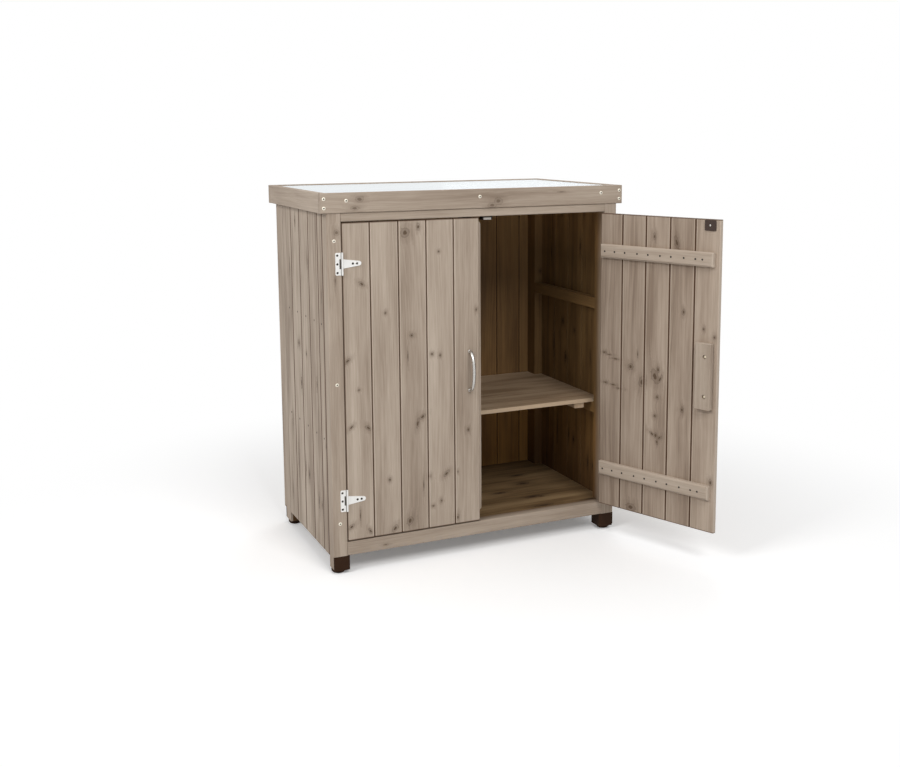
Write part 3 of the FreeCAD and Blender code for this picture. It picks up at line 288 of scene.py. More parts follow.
class Wood:
    """Stained knotty softwood in the making: where its grain runs, and which board of a wall a place is on."""

    def __init__(self, name, along, across, tones, seed, joints, turn, about):
        self.shader = new_material(name)
        self.place, self.axes = self.shader.coordinates(turn, about)
        self.along, self.across = "XYZ".index(along), "XYZ".index(across)
        self.through = 3 - self.along - self.across
        self.run, self.over, self.depth = (self.axes[axis] for axis in (self.along, self.across, self.through))
        self.tones = tones
        self.joints = joints
        board = seed
        if joints:
            board = ((self.over - joints[0]) / joints[1]).floor() + seed
        self.chance = self.shader.random(board)
        self.shift = self.chance * 7.0

    def stretched(self, across, along, bend=0.0):
        """Places for a pattern drawn out along the grain, and laid otherwise on each board."""
        over = (self.over + bend) * across + self.shift
        return self.shader.join(over, self.depth * across, self.run * along + self.shift)

    def listed_knots(self, knots):
        """Distance to the nearest of these knots, 1 at its edge.

        A knot is (across, along, half width, how many times longer than wide), and a tilt in radians if it has one.
        """
        nearest = None
        for over, run, size, stretch, *tilt in knots:
            middle, turned, half = [0.0, 0.0, 0.0], [0.0, 0.0, 0.0], [0.0, 0.0, 0.0]
            middle[self.across], half[self.across] = over, size
            middle[self.along], half[self.along] = run, size * stretch
            turned[self.through] = sum(tilt)
            inputs = {0: self.place, "Location": middle, "Rotation": turned, "Scale": half}
            centred = self.shader.node("ShaderNodeMapping", {"vector_type": "TEXTURE"}, inputs)
            near = self.shader.node("ShaderNodeVectorMath", {"operation": "LENGTH"}, {0: centred}, "Value")
            nearest = near if nearest is None else nearest.least(near)
        return nearest

    def wild_knots(self, share):
        """The same for knots in a share of the spots where one may lie, and what to add to it in an empty spot."""
        shader = self.shader
        across, along = self.over * SPOTS_ACROSS + self.shift, self.run * SPOTS_ALONG + self.shift
        spots = shader.join(across, self.depth * SPOTS_THROUGH, along)
        near = shader.cells(spots, 1.0, 0.9, "Distance")
        chance = shader.first_part(shader.cells(spots, 1.0, 0.9, "Color"))
        empty = 1.0 - chance.step(1.0 - share, 1.0 - share * 0.7)
        return near / WILD_KNOT, empty * 9.0

    def nearest_knot(self, knots, wild):
        """Distance to the nearest knot of either kind, with a ragged edge; None where the wood has none."""
        if not knots and not wild:
            return None
        ragged = 0.48 + self.shader.noise(self.place, 170.0, 3.0, 0.6) * 1.04
        near = self.listed_knots(knots) * ragged if knots else None
        if wild:
            distance, far = self.wild_knots(wild)
            strewn = distance * ragged + far
            near = strewn if near is None else near.least(strewn)
        return near

    def knot_stain(self, near, strength):
        """How dark a knot's heart, its body, the ring round it and the smear past that are."""
        heart = near.step(0.70, 0.42) * (0.74 * strength)
        body = near.step(1.12, 0.90) * (0.34 * strength)
        ring = near.step(1.30, 1.10) * near.step(0.80, 1.00) * (0.42 * strength)
        smear = near.step(3.4, 1.0) * (0.17 * strength)
        return heart.most(body).most(ring).most(smear)

    def growth(self, bend, contrast, grain, wavy):
        """The tone, about 0.5: growth rings cut by the board's face, broad soft patches, and the fine fibres."""
        shader, over, depth, run, shift = self.shader, self.over, self.depth, self.run, self.shift
        slow = shader.noise(self.stretched(9.0, 1.3), 1.0, 1.0)
        ringed = over + bend + slow * wavy + depth * 0.35
        rings = shader.noise(shader.join(ringed * grain + shift, 0.0, run * 1.9 + shift), 1.0, 4.0, 0.66)
        fibres = shader.noise(shader.join(over * 700.0, depth * 700.0, run * 16.0 + shift), 1.0, 2.0, 0.65)
        broad = shader.noise(self.stretched(24.0, 3.1), 1.0, 3.0, 0.55)
        tone = (rings - 0.5) * (0.85 * contrast) + (broad - 0.5) * (0.95 * contrast)
        return tone + (fibres - 0.5) * 0.55 + (self.chance - 0.5) * (0.16 * contrast) + 0.5, fibres

    def grooves(self, colour, strength, half, within):
        """Draws the V joints: a dark groove that wanders a little, with a painted highlight along both its edges.

        Inside the cabinet, where within is 1, only a part of the groove shows and the painted highlights don't.
        """
        shader, (first, cover) = self.shader, self.joints
        side = (((self.over - first) / cover + 0.5).fract() - 0.5) * cover
        wander = shader.noise(shader.join(0.0, self.depth, self.run * 14.0 + self.shift), 1.0, 2.0) - 0.5
        side = side + wander * GROOVE_WANDER
        dark = side.band(half, LINE_EDGE)
        highlight = (side.abs() - half - HIGHLIGHT_OFFSET).abs().step(0.0015, 0.0006)
        if within is not None:
            dark = dark * (1.0 - within * 0.8)
            highlight = highlight * (1.0 - within)
        colour = shader.mix(dark * strength, colour, self.tones["groove"])
        return shader.mix(highlight * 0.8, colour, self.tones["light"])

    def edge_lines(self, colour, edges):
        """Draws lines (colour, strength, band, ...), painted highlights, painted shade and dark joints, each where all
        its bands (axis, place, half width) meet.
        """
        for mark_colour, strength, *bands in edges:
            line = strength
            for axis, middle, half in bands:
                line = (self.axes["XYZ".index(axis)] - middle).band(half, LINE_EDGE) * line
            colour = self.shader.mix(line, colour, mark_colour)
        return colour

    def inside_cabinet(self):
        """1 on the faces that look into the cabinet."""
        x, y, z = self.axes
        between_sides = (x - MIDDLE).abs().step(0.3765, 0.3745)
        behind_front = y.step(-0.024, 0.020)
        before_rear = y.step(0.4110, 0.4090)
        under_top = z.step(0.8545, 0.8535)
        return between_sides * behind_front * before_rear * under_top


def stained_wood(name, along, across, tones, seed, joints=None, knots=(), knotty=1.0, wild=0.0, contrast=1.0,
                 grain=120.0, wavy=0.06, streaks=0.0, groove=0.75, groove_half=0.0016, soft_inside=False, edges=(),
                 shade=None, door=False, turn=0.0, about=(0, 0)):
    """Stained knotty softwood whose grain runs along one axis, with so many growth rings to the metre.

    joints is (first joint, board cover) across the boards, whose grooves are fainter inside the cabinet when
    soft_inside is set. shade is the table of painted shade that inner faces are multiplied by, and a door's inside
    face gets a little painted shade against its front.
    """
    wood = Wood(name, along, across, tones, seed, joints, turn, about)
    shader = wood.shader
    near = wood.nearest_knot(knots, wild)
    bend = 0.0 if near is None else near.step(4.5, 0.8) * 0.006
    tone, fibres = wood.growth(bend, contrast, grain, wavy)
    colour = shader.ramp(tone, [(0.15, tones["dark"]), (0.5, tones["middle"]), (0.85, tones["light"])])
    if streaks:
        lines = shader.noise(wood.stretched(130.0, 4.2, bend), 1.0, 3.0, 0.6, 0.6)
        colour = shader.mix(lines.step(0.55, 0.68) * streaks, colour, tones["knot"])
    if near is not None:
        colour = shader.mix(wood.knot_stain(near, knotty), colour, tones["knot"])
    within = wood.inside_cabinet() if shade else None
    if joints:
        colour = wood.grooves(colour, groove, groove_half, within if soft_inside else None)
    colour = wood.edge_lines(colour, edges)
    # painted shade on the faces inside the cabinet, by height
    if shade:
        colour = shader.darken(within, colour, shader.ramp(wood.axes[2], shade))
    # painted shade on a door's inside face
    if door:
        inside_face = wood.axes[1].step(-0.0108, -0.0100)
        colour = shader.darken(inside_face, colour, DOOR_BACK_PAINTED_SHADE)
    return shader.finish(
        Base_Color=colour, Roughness=0.60 + tone * 0.18, Specular_IOR_Level=0.35,
        Normal=shader.bump(tone * 0.7 + fibres * 0.3, 0.22, 0.0006),
    )


# Other finishes


def metal(name, colour, roughness, grain, metallic=1.0, mottling=0.0, rolled=False):
    """Worn metal; on a rolled hinge plate, painted shade along the seam where it turns into the knuckle."""
    shader = new_material(name)
    place, axes = shader.coordinates()
    speck = shader.noise(place, 420.0, 3.0, 0.6)
    if mottling:
        colour = shader.mix(speck * mottling, colour, srgb(120, 118, 114))
    if rolled:
        # painted shade line along the seam between leaf and knuckle
        seam = ((axes[0] - MIDDLE).abs() - 0.3488).abs().step(0.0011, 0.0004)
        colour = shader.mix(seam * 0.62, colour, srgb(96, 93, 88))
    return shader.finish(
        Base_Color=colour, Metallic=metallic, Roughness=roughness + (speck - 0.5) * 0.12,
        Normal=shader.bump(speck, grain, 0.0002),
    )


def plastic(name, colour, roughness):
    """Moulded plastic with a fine grain and a cloudy brown tinge."""
    shader = new_material(name)
    place, _ = shader.coordinates()
    grain = shader.noise(place, 1600.0, 2.0, 0.6)
    cloudy = shader.noise(place, 60.0, 2.0, 0.5)
    return shader.finish(
        Base_Color=shader.mix(cloudy * 0.3, colour, srgb(58, 40, 28)), Roughness=roughness + grain * 0.12,
        Specular_IOR_Level=0.15, Normal=shader.bump(grain, 0.2, 0.0002),
    )


def galvanised_sheet(name):
    """Bright smooth sheet with the faint spangle of its zinc coat."""
    shader = new_material(name)
    place, _ = shader.coordinates()
    flake = shader.first_part(shader.cells(place, 95.0, 1.0, "Color"))
    wave = shader.noise(place, 7.0, 2.0, 0.5)
    return shader.finish(
        Base_Color=shader.mix(flake * 0.3, srgb(233, 237, 242), srgb(206, 213, 221)), Metallic=1.0,
        Roughness=0.07 + flake * 0.02 + wave * 0.03, Specular_Tint=(0.83, 0.87, 0.88, 1.0),
        Normal=shader.bump(wave, 0.02, 0.002),
    )


def put(material, *names):
    """Gives CAD nodes a material in all their slots."""
    for name in names:
        data = nodes[name].data
        for index in range(len(data.materials)):
            data.materials[index] = material


# Knots seen on the boards: across, along, half width, length to width, and a tilt if they have one
LEFT_DOOR_KNOTS = (
    (0.1723, 0.8033, 0.0095, 1.1), (0.2055, 0.8159, 0.0045, 1.6), (0.2568, 0.7552, 0.0028, 1.2),
    (0.0642, 0.6893, 0.0042, 1.8, -0.9), (0.1207, 0.6175, 0.0034, 1.1), (0.1861, 0.5592, 0.0046, 1.0),
    (0.1756, 0.5085, 0.0016, 7.0), (0.2373, 0.5097, 0.0046, 1.0), (0.2582, 0.5052, 0.0032, 1.4),
    (0.0260, 0.5110, 0.0038, 2.2, 0.9), (0.0525, 0.4402, 0.0030, 1.0), (0.3539, 0.6093, 0.0030, 1.8),
    (0.0322, 0.3528, 0.0036, 2.0, 0.8), (0.0740, 0.3470, 0.0045, 1.9, -0.8), (0.1985, 0.3440, 0.0042, 2.8, 0.2),
    (0.2110, 0.3590, 0.0048, 1.8, 0.9), (0.3312, 0.3132, 0.0042, 1.4), (0.1256, 0.2140, 0.0034, 1.5),
    (0.2123, 0.1894, 0.0016, 8.0), (0.2279, 0.2091, 0.0044, 1.0), (0.2724, 0.2102, 0.0044, 2.0, 0.8),
    (0.3028, 0.2108, 0.0018, 2.2), (0.2589, 0.1434, 0.0030, 1.5), (0.2366, 0.1333, 0.0042, 0.8),
    (0.0502, 0.1368, 0.0015, 8.0), (0.0279, 0.1118, 0.0042, 2.0, 0.9), (0.0747, 0.0947, 0.0034, 2.2, -0.6),
    (0.1374, 0.0917, 0.0056, 1.7, 0.7), (0.1757, 0.1050, 0.0070, 1.5, 0.3), (0.3010, 0.0950, 0.0046, 1.6),
)
# measured from the right pin
RIGHT_DOOR_KNOTS = tuple((RIGHT_PIN[0] - over, *rest) for over, *rest in (
    (0.1622, 0.7826, 0.0040, 2.0), (0.2260, 0.7713, 0.0056, 2.6, 0.35), (0.2491, 0.6069, 0.0042, 1.7),
    (0.3049, 0.5717, 0.0032, 1.3), (0.3349, 0.5549, 0.0042, 1.3), (0.0150, 0.4785, 0.0070, 0.55),
    (0.0300, 0.4745, 0.0090, 0.22), (0.0500, 0.4660, 0.0100, 0.20), (0.1178, 0.4862, 0.0018, 4.5),
    (0.0966, 0.4525, 0.0070, 1.1), (0.1330, 0.4187, 0.0090, 1.5, -0.4), (0.1700, 0.4381, 0.0095, 1.7, 0.3),
    (0.1790, 0.4560, 0.0050, 1.5), (0.1850, 0.4330, 0.0040, 3.0, -0.5), (0.0620, 0.3915, 0.0090, 0.24),
    (0.0430, 0.3985, 0.0090, 0.22), (0.0200, 0.4010, 0.0070, 0.45), (0.1776, 0.3872, 0.0050, 1.0),
    (0.2498, 0.3670, 0.0050, 1.4), (0.1718, 0.3389, 0.0046, 1.0), (0.1749, 0.2899, 0.0056, 1.2),
    (0.1640, 0.2925, 0.0040, 2.0, 0.9), (0.1860, 0.2860, 0.0040, 2.0, -0.9), (0.1790, 0.2740, 0.0036, 1.6),
    (0.3335, 0.2027, 0.0050, 1.5), (0.1031, 0.0893, 0.0130, 0.7),
))
SIDE_KNOTS = (
    (0.2413, 0.8185, 0.0040, 3.0), (0.3684, 0.6015, 0.0022, 14.0), (0.2323, 0.5151, 0.0060, 1.3),
    (0.1676, 0.4984, 0.0040, 1.5), (0.2831, 0.4426, 0.0026, 12.0), (0.2166, 0.4169, 0.0060, 2.2),
    (0.0808, 0.4394, 0.0024, 8.0), (0.3778, 0.3412, 0.0030, 9.0), (0.3076, 0.3064, 0.0024, 8.0),
    (0.0174, 0.3026, 0.0050, 1.3), (0.2618, 0.2048, 0.0034, 12.0), (0.1954, 0.2021, 0.0026, 7.0),
    (0.1681, 0.1930, 0.0050, 2.0), (0.0894, 0.1494, 0.0040, 5.0), (0.0637, 0.1459, 0.0030, 3.0),
    (0.3245, 0.1092, 0.0024, 10.0), (0.4162, 0.4479, 0.0040, 1.5), (0.1400, 0.7300, 0.0030, 6.0),
    (0.3000, 0.7000, 0.0024, 9.0), (0.0300, 0.6600, 0.0020, 7.0),
)
# height, then place along the board
RAIL_KNOTS = (
    (0.8846, 0.0621, 0.0062, 1.5), (0.8641, 0.0498, 0.0050, 1.9), (0.8604, 0.3965, 0.0060, 1.8),
    (0.8695, 0.4128, 0.0080, 1.3), (0.8873, 0.5855, 0.0016, 7.0), (0.0549, 0.1119, 0.0030, 2.2),
)
FLOOR_KNOTS = (
    (0.2036, 0.5949, 0.0075, 2.2), (0.2764, 0.6132, 0.0060, 2.5), (0.0916, 0.5682, 0.0065, 3.0),
    (0.0860, 0.5900, 0.0040, 2.0), (0.0170, 0.5614, 0.0060, 4.0), (0.0110, 0.6948, 0.0050, 5.0),
    (0.1550, 0.5014, 0.0050, 3.0), (0.3300, 0.4600, 0.0060, 2.0), (0.2300, 0.2500, 0.0070, 2.0),
    (0.1200, 0.1100, 0.0060, 2.5), (0.3000, 0.0700, 0.0060, 2.0),
)
POST_KNOTS = ((0.0066, 0.8100, 0.0062, 1.1), (0.0010, 0.7000, 0.0020, 5.0), (0.7280, 0.6400, 0.0040, 1.4))


def dress_the_frame():
    front = stained_wood("front_board_wood", "X", "Z", FRONT, 1.3, knots=RAIL_KNOTS, contrast=0.95, shade=SIDE_PAINTED_SHADE)
    put(front, "worktop_front_board", "worktop_rear_board", "header_rail", "bottom_rail")
    sides = stained_wood("side_board_wood", "Y", "Z", OUTER, 3.7, wild=0.3, contrast=1.1, shade=SIDE_PAINTED_SHADE)
    put(sides, "worktop_left_board", "worktop_right_board")
    put(galvanised_sheet("galvanised_sheet"), "metal_worktop_sheet")
    # painted shadow: the posts are dark blue-grey where they show through the notch in each hinge leaf
    on_face = ("Y", POST_FACE, 0.0015)
    notch_shadows = tuple(
        (srgb(78, 76, 74), 0.9, ("X", x, 0.0022), on_face, ("Z", z, 0.0116))
        for x in (0.0132, 0.7148) for z in HINGE_HEIGHTS
    )
    posts = stained_wood("post_wood", "Z", "X", OUTER, 5.1, knots=POST_KNOTS, edges=notch_shadows, shade=SIDE_PAINTED_SHADE)
    put(posts, "front_left_post", "front_right_post", "rear_left_post", "rear_right_post")
    cladding = stained_wood(
        "side_cladding_wood", "Z", "Y", OUTER, 41.0, joints=(0.0535, 0.076), knots=SIDE_KNOTS, knotty=1.6,
        contrast=1.9, grain=62.0, wavy=0.02, streaks=0.42, groove=0.9, groove_half=0.0029, soft_inside=True,
        edges=((OUTER["groove"], 0.9, ("Y", 0.0150, 0.0040)),), shade=SIDE_PAINTED_SHADE,
    )
    put(cladding, "left_side_boards", "right_side_boards")
    rear = stained_wood(
        "rear_wall_wood", "Z", "X", OUTER, 53.0, joints=(0.0445, 0.071), wild=0.3, contrast=1.6, shade=REAR_PAINTED_SHADE
    )
    put(rear, "rear_wall_boards")


def dress_the_doors():
    dark, highlight, mark_colour = OUTER["groove"], OUTER["light"], OUTER["knot"]
    # painted shade of the gaps along the doors' top and bottom edges
    ends = tuple((dark, 0.8, ("Z", z, 0.0018)) for z in (DOOR_TOP, DOOR_BOTTOM))
    # the left door also gets painted gap shade along its edge by the post
    left = stained_wood(
        "left_door_wood", "Z", "X", OUTER, 11.0, joints=(0.0855, 0.070), knots=LEFT_DOOR_KNOTS, knotty=1.3,
        grain=165.0, groove=0.88, groove_half=0.0014, edges=((dark, 0.8, ("X", 0.0185, 0.0018)), *ends), door=True,
    )
    put(left, "left_door_boards")
    put(stained_wood("cover_strip_wood", "Z", "X", OUTER, 8.1), "left_door_cover_strip")
    # painted shade: the two boards nearest the hinges are a little darker than the rest of the right door
    hinge_board_shade = (mark_colour, 0.12, ("X", 0.6770, 0.0345)), (mark_colour, 0.07, ("X", 0.6075, 0.0345))
    turned = {"turn": DOOR_OPEN, "about": RIGHT_PIN}
    # the right door gets painted gap shade along its hinge edge
    right = stained_wood(
        "right_door_wood", "Z", "X", OUTER, 23.0, joints=(0.6425, 0.070), knots=RIGHT_DOOR_KNOTS, knotty=1.25,
        contrast=1.4, groove=0.95, groove_half=0.0022, edges=(*hinge_board_shade, (dark, 0.9, ("X", 0.7100, 0.0026)), *ends),
        door=True, **turned,
    )
    put(right, "right_door_boards")
    heights = [z + step for z in HINGE_HEIGHTS for step in (-BATTEN_HALF, BATTEN_HALF)]
    # painted highlights along the battens' top and bottom edges, and along the right battens' end
    rims = tuple((highlight, 0.7, ("Z", z, 0.0012)) for z in heights)
    end_highlight = (highlight, 0.7, ("X", 0.3775, 0.0020))
    battens = stained_wood("batten_wood", "X", "Z", OUTER, 31.0, edges=(*rims, end_highlight), **turned)
    put(battens, "right_door_upper_batten", "right_door_lower_batten")
    battens = stained_wood("left_batten_wood", "X", "Z", OUTER, 33.0, edges=rims)
    put(battens, "left_door_upper_batten", "left_door_lower_batten")
    # painted highlights on the block's top edge and one side edge, and painted shade along its bottom edge and where it
    # meets the door
    block_highlights_and_shade = (
        (dark, 0.6, ("Z", 0.38025, 0.0010)), (highlight, 0.7, ("Z", 0.54025, 0.0012)),
        (highlight, 0.6, ("X", 0.4185, 0.0014)), (dark, 0.8, ("Y", -0.0095, 0.0012)),
    )
    put(stained_wood("block_wood", "Z", "X", FRONT, 37.0, edges=block_highlights_and_shade, **turned), "right_door_handle_block")
    put(stained_wood("left_block_wood", "Z", "X", OUTER, 38.0), "left_door_handle_block")


def dress_the_inside():
    bottom = stained_wood("floor_wood", "X", "Y", INNER_SHADED, 61.0, knots=FLOOR_KNOTS, knotty=1.8, wild=0.5, contrast=1.7)
    put(bottom, "floor_boards")
    # painted highlight along the shelf's front edge
    front_edge_highlight = (SHELF_SHADED["light"], 1.0, ("Y", 0.0315, 0.0012))
    shelf = stained_wood("shelf_wood", "X", "Y", SHELF_SHADED, 71.0, wild=0.4, contrast=1.5, edges=(front_edge_highlight,))
    put(shelf, "shelf_boards")
    put(stained_wood("shelf_batten_wood", "Y", "X", SHELF_SHADED, 73.0), "shelf_battens")
    rails = stained_wood("inner_rail_wood", "Y", "Z", OUTER, 81.0, wild=0.2, shade=SIDE_PAINTED_SHADE)
    for side in ("left", "right"):
        put(rails, *[f"{side}_{kind}" for kind in ("top_rail", "mid_rail", "shelf_cleat", "floor_bearer")])
    hidden = stained_wood("inner_long_wood", "X", "Z", INNER_SHADED, 83.0, wild=0.2)
    put(hidden, "rear_top_rail", "rear_bottom_rail", "worktop_bearers", "worktop_backing_panel")


def dress_the_hardware():
    brown = plastic("foot_plastic", srgb(44, 23, 5), roughness=0.55)
    put(brown, *[f"{end}_{side}_foot" for end in ("front", "rear") for side in ("left", "right")])
    put(plastic("catch_plastic", srgb(34, 28, 24), roughness=0.4), "catch_housings")
    zinc = {"colour": srgb(240, 239, 236), "roughness": 0.42, "grain": 0.15, "metallic": 0.45, "mottling": 0.12}
    put(metal("zinc_plate", **zinc), "right_door_hinge_straps", "hinge_pins")
    put(metal("zinc_plate_seam_shade", rolled=True, **zinc), "hinge_post_leaves", "left_door_hinge_straps")
    nickel = metal("satin_nickel", srgb(196, 194, 190), roughness=0.3, grain=0.1)
    put(nickel, "left_door_handle", "right_door_handle")
    steel = metal("catch_steel", srgb(196, 190, 182), roughness=0.4, grain=0.1, metallic=0.6)
    put(steel, "catch_magnets", "catch_pole_plates")
    lacquer = metal("striker_lacquer", srgb(58, 42, 34), roughness=0.45, grain=0.1, metallic=0.2)
    put(lacquer, "left_door_striker_plate", "right_door_striker_plate")
    cream = metal("pale_screw_zinc", srgb(238, 226, 200), roughness=0.5, grain=0.1, metallic=0.3, mottling=0.1)
    put(cream, "worktop_screws", "post_screws", "left_door_handle_screws", "right_door_handle_screws")
    dark = metal("dark_screw_steel", srgb(84, 72, 58), roughness=0.5, grain=0.1, metallic=0.6)
    put(dark, "hinge_leaf_screws", "left_door_strap_screws", "right_door_strap_screws")


dress_the_frame()
dress_the_doors()
dress_the_inside()
dress_the_hardware()


# Pieces


def place_at(point, facing):
    """Puts something made on the upright axis at a point, with its top towards facing."""
    return Matrix.Translation(point) @ Vector(facing).to_track_quat("Z", "Y").to_matrix().to_4x4()


def hung(side):
    """Takes a place in a door's own plan to where the door is at rest."""
    if side == "left":
        return Matrix.Translation((*LEFT_PIN, 0))
    stand = Matrix.Translation((*RIGHT_PIN, 0)) @ Matrix.Rotation(DOOR_OPEN, 4, "Z")
    return stand @ Matrix.Diagonal((-1, 1, 1, 1))


def revolve(profile, segments):
    """A closed round piece from (radius, height) pairs, starting and ending on the upright axis."""
    bm = bmesh.new()
    verts = [bm.verts.new((radius, 0, height)) for radius, height in profile]
    edges = [bm.edges.new(pair) for pair in zip(verts, verts[1:])]
    turn = {"cent": (0, 0, 0), "axis": (0, 0, 1), "dvec": (0, 0, 0), "angle": 2 * math.pi}
    bmesh.ops.spin(bm, geom=verts + edges, steps=segments, use_merge=True, use_duplicate=False, **turn)
    bmesh.ops.remove_doubles(bm, verts=bm.verts, dist=1e-6)
    return bm


def only_verts(items):
    return [item for item in items if isinstance(item, bmesh.types.BMVert)]


def repeat(bm, places):
    """Sets a copy of what the mesh holds at each place, and drops the first one."""
    source = bm.verts[:] + bm.edges[:] + bm.faces[:]
    for place in places:
        copy = bmesh.ops.duplicate(bm, geom=source)["geom"]
        bmesh.ops.transform(bm, matrix=place, verts=only_verts(copy))
    bmesh.ops.delete(bm, geom=only_verts(source), context="VERTS")
    return bm


def make_piece(name, bm, materials, body, replaced=(), crease=35):
    """Ends a mesh as a piece that rides on a body, with edges sharp where they turn by more than crease degrees."""
    bmesh.ops.recalc_face_normals(bm, faces=bm.faces)
    mesh = bpy.data.meshes.new(name)
    bm.to_mesh(mesh)
    bm.free()
    mesh.shade_smooth()
    mesh.set_sharp_from_angle(angle=math.radians(crease))
    for material in materials:
        mesh.materials.append(material)
    piece = bpy.data.objects.new(name, mesh)
    bpy.context.scene.collection.objects.link(piece)
    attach(piece, body)
    if replaced:
        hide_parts(*replaced)


# Screw heads: radius, how far they stand proud, depth and radius of the driver socket
FRAME_SCREW = (0.0041, 0.0009, 0.0013, 0.0018)
HINGE_SCREW = (0.0032, 0.0005, 0.0013, 0.0023)
STRIKER_SCREW = (0.0024, 0.0008, 0.0010, 0.0008)
SKIRT = 0.0010


def screw_heads(size, places):
    """Domed heads with a round driver socket, their rims at the places and their skirts sunk below."""
    radius, proud, depth, socket = size
    bm = revolve([
        (0, proud - depth), (socket * 0.8, proud - depth), (socket, proud - depth * 0.2), (socket * 1.08, proud),
        (radius * 0.55, proud * 0.96), (radius * 0.82, proud * 0.7), (radius * 0.96, proud * 0.3), (radius, 0),
        (radius * 0.9, -SKIRT), (0, -SKIRT),
    ], 24)
    # faces in the driver socket take the second material, painted shade
    for face in bm.faces:
        centre = face.calc_center_median()
        if math.hypot(centre.x, centre.y) < socket and centre.z > -0.9 * SKIRT:
            face.material_index = 1
    return repeat(bm, places)


def make_frame_screws(materials):
    corners = [(x, z) for x in (-0.023, 0.751) for z in (0.866, 0.887)]
    spots = corners + [(x, 0.882) for x in (0.030, MIDDLE, 0.698)]
    sunk = 0.0010  # the rear heads end flush with their board
    front = [place_at((x, FRAME_FACE, z), TO_FRONT) for x, z in spots]
    back = [place_at((x, FRAME_BACK - sunk, z), TO_BACK) for x, z in spots]
    bm = screw_heads(FRAME_SCREW, front + back)
    make_piece("frame_screw_heads", bm, materials, "carcass", ["worktop_screws"])
    spots = [(x, z) for x in (0.0, RIGHT_POST) for z in (0.123, 0.457, 0.791)]
    bm = screw_heads(FRAME_SCREW, [place_at((x, POST_FACE, z), TO_FRONT) for x, z in spots])
    make_piece("post_screw_heads", bm, materials, "carcass", ["post_screws"])


def make_hinge_screws(materials):
    spots = [(x, z + step) for x in (0.00625, 0.72175) for z in HINGE_HEIGHTS for step in (-0.02, 0, 0.02)]
    bm = screw_heads(HINGE_SCREW, [place_at((x, LEAF_FACE, z), TO_FRONT) for x, z in spots])
    make_piece("leaf_screw_heads", bm, materials, "carcass", ["hinge_leaf_screws"])
    spots = [(x, z) for x in (0.0255, 0.0355) for z in HINGE_HEIGHTS]
    for side in ("left", "right"):
        bm = screw_heads(HINGE_SCREW, [hung(side) @ place_at((x, STRAP_FACE, z), TO_FRONT) for x, z in spots])
        make_piece(f"{side}_strap_screw_heads", bm, materials, f"{side}_door",
                   [f"{side}_door_strap_screws"])


def make_striker_screws(materials):
    for side in ("left", "right"):
        place = hung(side) @ place_at((STRIKER_REACH, STRIKER_FACE, STRIKER_HEIGHT), TO_BACK)
        bm = screw_heads(STRIKER_SCREW, [place])
        make_piece(f"{side}_striker_screw_head", bm, materials, f"{side}_door")


def nail_heads(places):
    """Small nail heads, their shanks cut off just under the face of the wood."""
    profile = [(0, 0.0001), (0.0014, 0.0001), (0.0021, 0.0003), (0.0025, 0.0002), (0.0025, -0.001), (0, -0.001)]
    return repeat(revolve(profile, 12), places)


def make_nails(materials):
    # the height of each row on the sides, and how far back its nails are
    rows = ((0.593, (0.0335, 0.0935, 0.1635, 0.2385, 0.3115)), (0.318, (0.0345, 0.0945, 0.1675, 0.2435, 0.3195)))
    for side, face, out in (("left", LEFT_FACE, TO_LEFT), ("right", RIGHT_FACE, TO_RIGHT)):
        places = [place_at((face, y, z), out) for z, row in rows for y in row]
        make_piece(f"{side}_side_nails", nail_heads(places), materials, "carcass")
    across = (0.023, 0.053, 0.084, 0.121, 0.153, 0.188, 0.219, 0.255, 0.287, 0.306)
    for side in ("left", "right"):
        places = [hung(side) @ place_at((x, BATTEN_FACE, z), TO_BACK) for z in HINGE_HEIGHTS for x in across]
        make_piece(f"{side}_batten_nails", nail_heads(places), materials, f"{side}_door")


def handle_bow(half, rise, start):
    """The handle's bow as a mesh: round bar on an arch from foot to foot, thickest at its middle."""
    curve = bpy.data.curves.new("handle_bow", "CURVE")
    curve.dimensions = "3D"
    curve.bevel_depth = 0.001
    curve.bevel_resolution = 6
    curve.resolution_u = 24
    curve.use_fill_caps = True
    spline = curve.splines.new("BEZIER")
    spline.bezier_points.add(2)
    quarter = 0.5523  # makes a quarter of an ellipse of a Bezier curve
    out, up = -rise * quarter, half * quarter
    # Y and Z of each point, the way its curve comes and goes, and the bar's radius there in millimetres
    arch = (
        (start, -half, (0, 0), (out, 0), 3.5),
        (start - rise, 0, (0, -up), (0, up), 4.2),
        (start, half, (out, 0), (0, 0), 3.5),
    )
    for point, (y, z, before, after, radius) in zip(spline.bezier_points, arch):
        point.co = (HANDLE_REACH, y, z + HANDLE_HEIGHT)
        point.handle_left_type = point.handle_right_type = "FREE"
        point.handle_left = (HANDLE_REACH, y + before[0], z + before[1] + HANDLE_HEIGHT)
        point.handle_right = (HANDLE_REACH, y + after[0], z + after[1] + HANDLE_HEIGHT)
        point.radius = radius
    guide = bpy.data.objects.new("handle_bow", curve)
    bpy.context.scene.collection.objects.link(guide)
    bpy.context.view_layer.update()
    bow = bpy.data.meshes.new_from_object(guide.evaluated_get(bpy.context.evaluated_depsgraph_get()))
    bpy.data.objects.remove(guide)
    bpy.data.curves.remove(curve)
    return bow


def make_handle(side, material):
    """A bow of round bar on two round feet."""
    half, rise, foot = 0.048, 0.023, 0.004
    profile = (
        (0, 0), (0.0044, 0), (0.0046, 0.0003), (0.0046, 0.0026), (0.0042, 0.0036), (0.0036, 0.0041), (0, 0.0042),
    )
    feet = [place_at((HANDLE_REACH, DOOR_FACE, HANDLE_HEIGHT + z), TO_FRONT) for z in (-half, half)]
    bm = repeat(revolve(profile, 28), feet)
    bow = handle_bow(half, rise, DOOR_FACE - foot)
    bm.from_mesh(bow)
    bpy.data.meshes.remove(bow)
    bmesh.ops.remove_doubles(bm, verts=bm.verts, dist=1e-6)
    bmesh.ops.transform(bm, matrix=hung(side), verts=bm.verts)
    make_piece(f"{side}_handle", bm, [material], f"{side}_door", [f"{side}_door_handle"], crease=50)


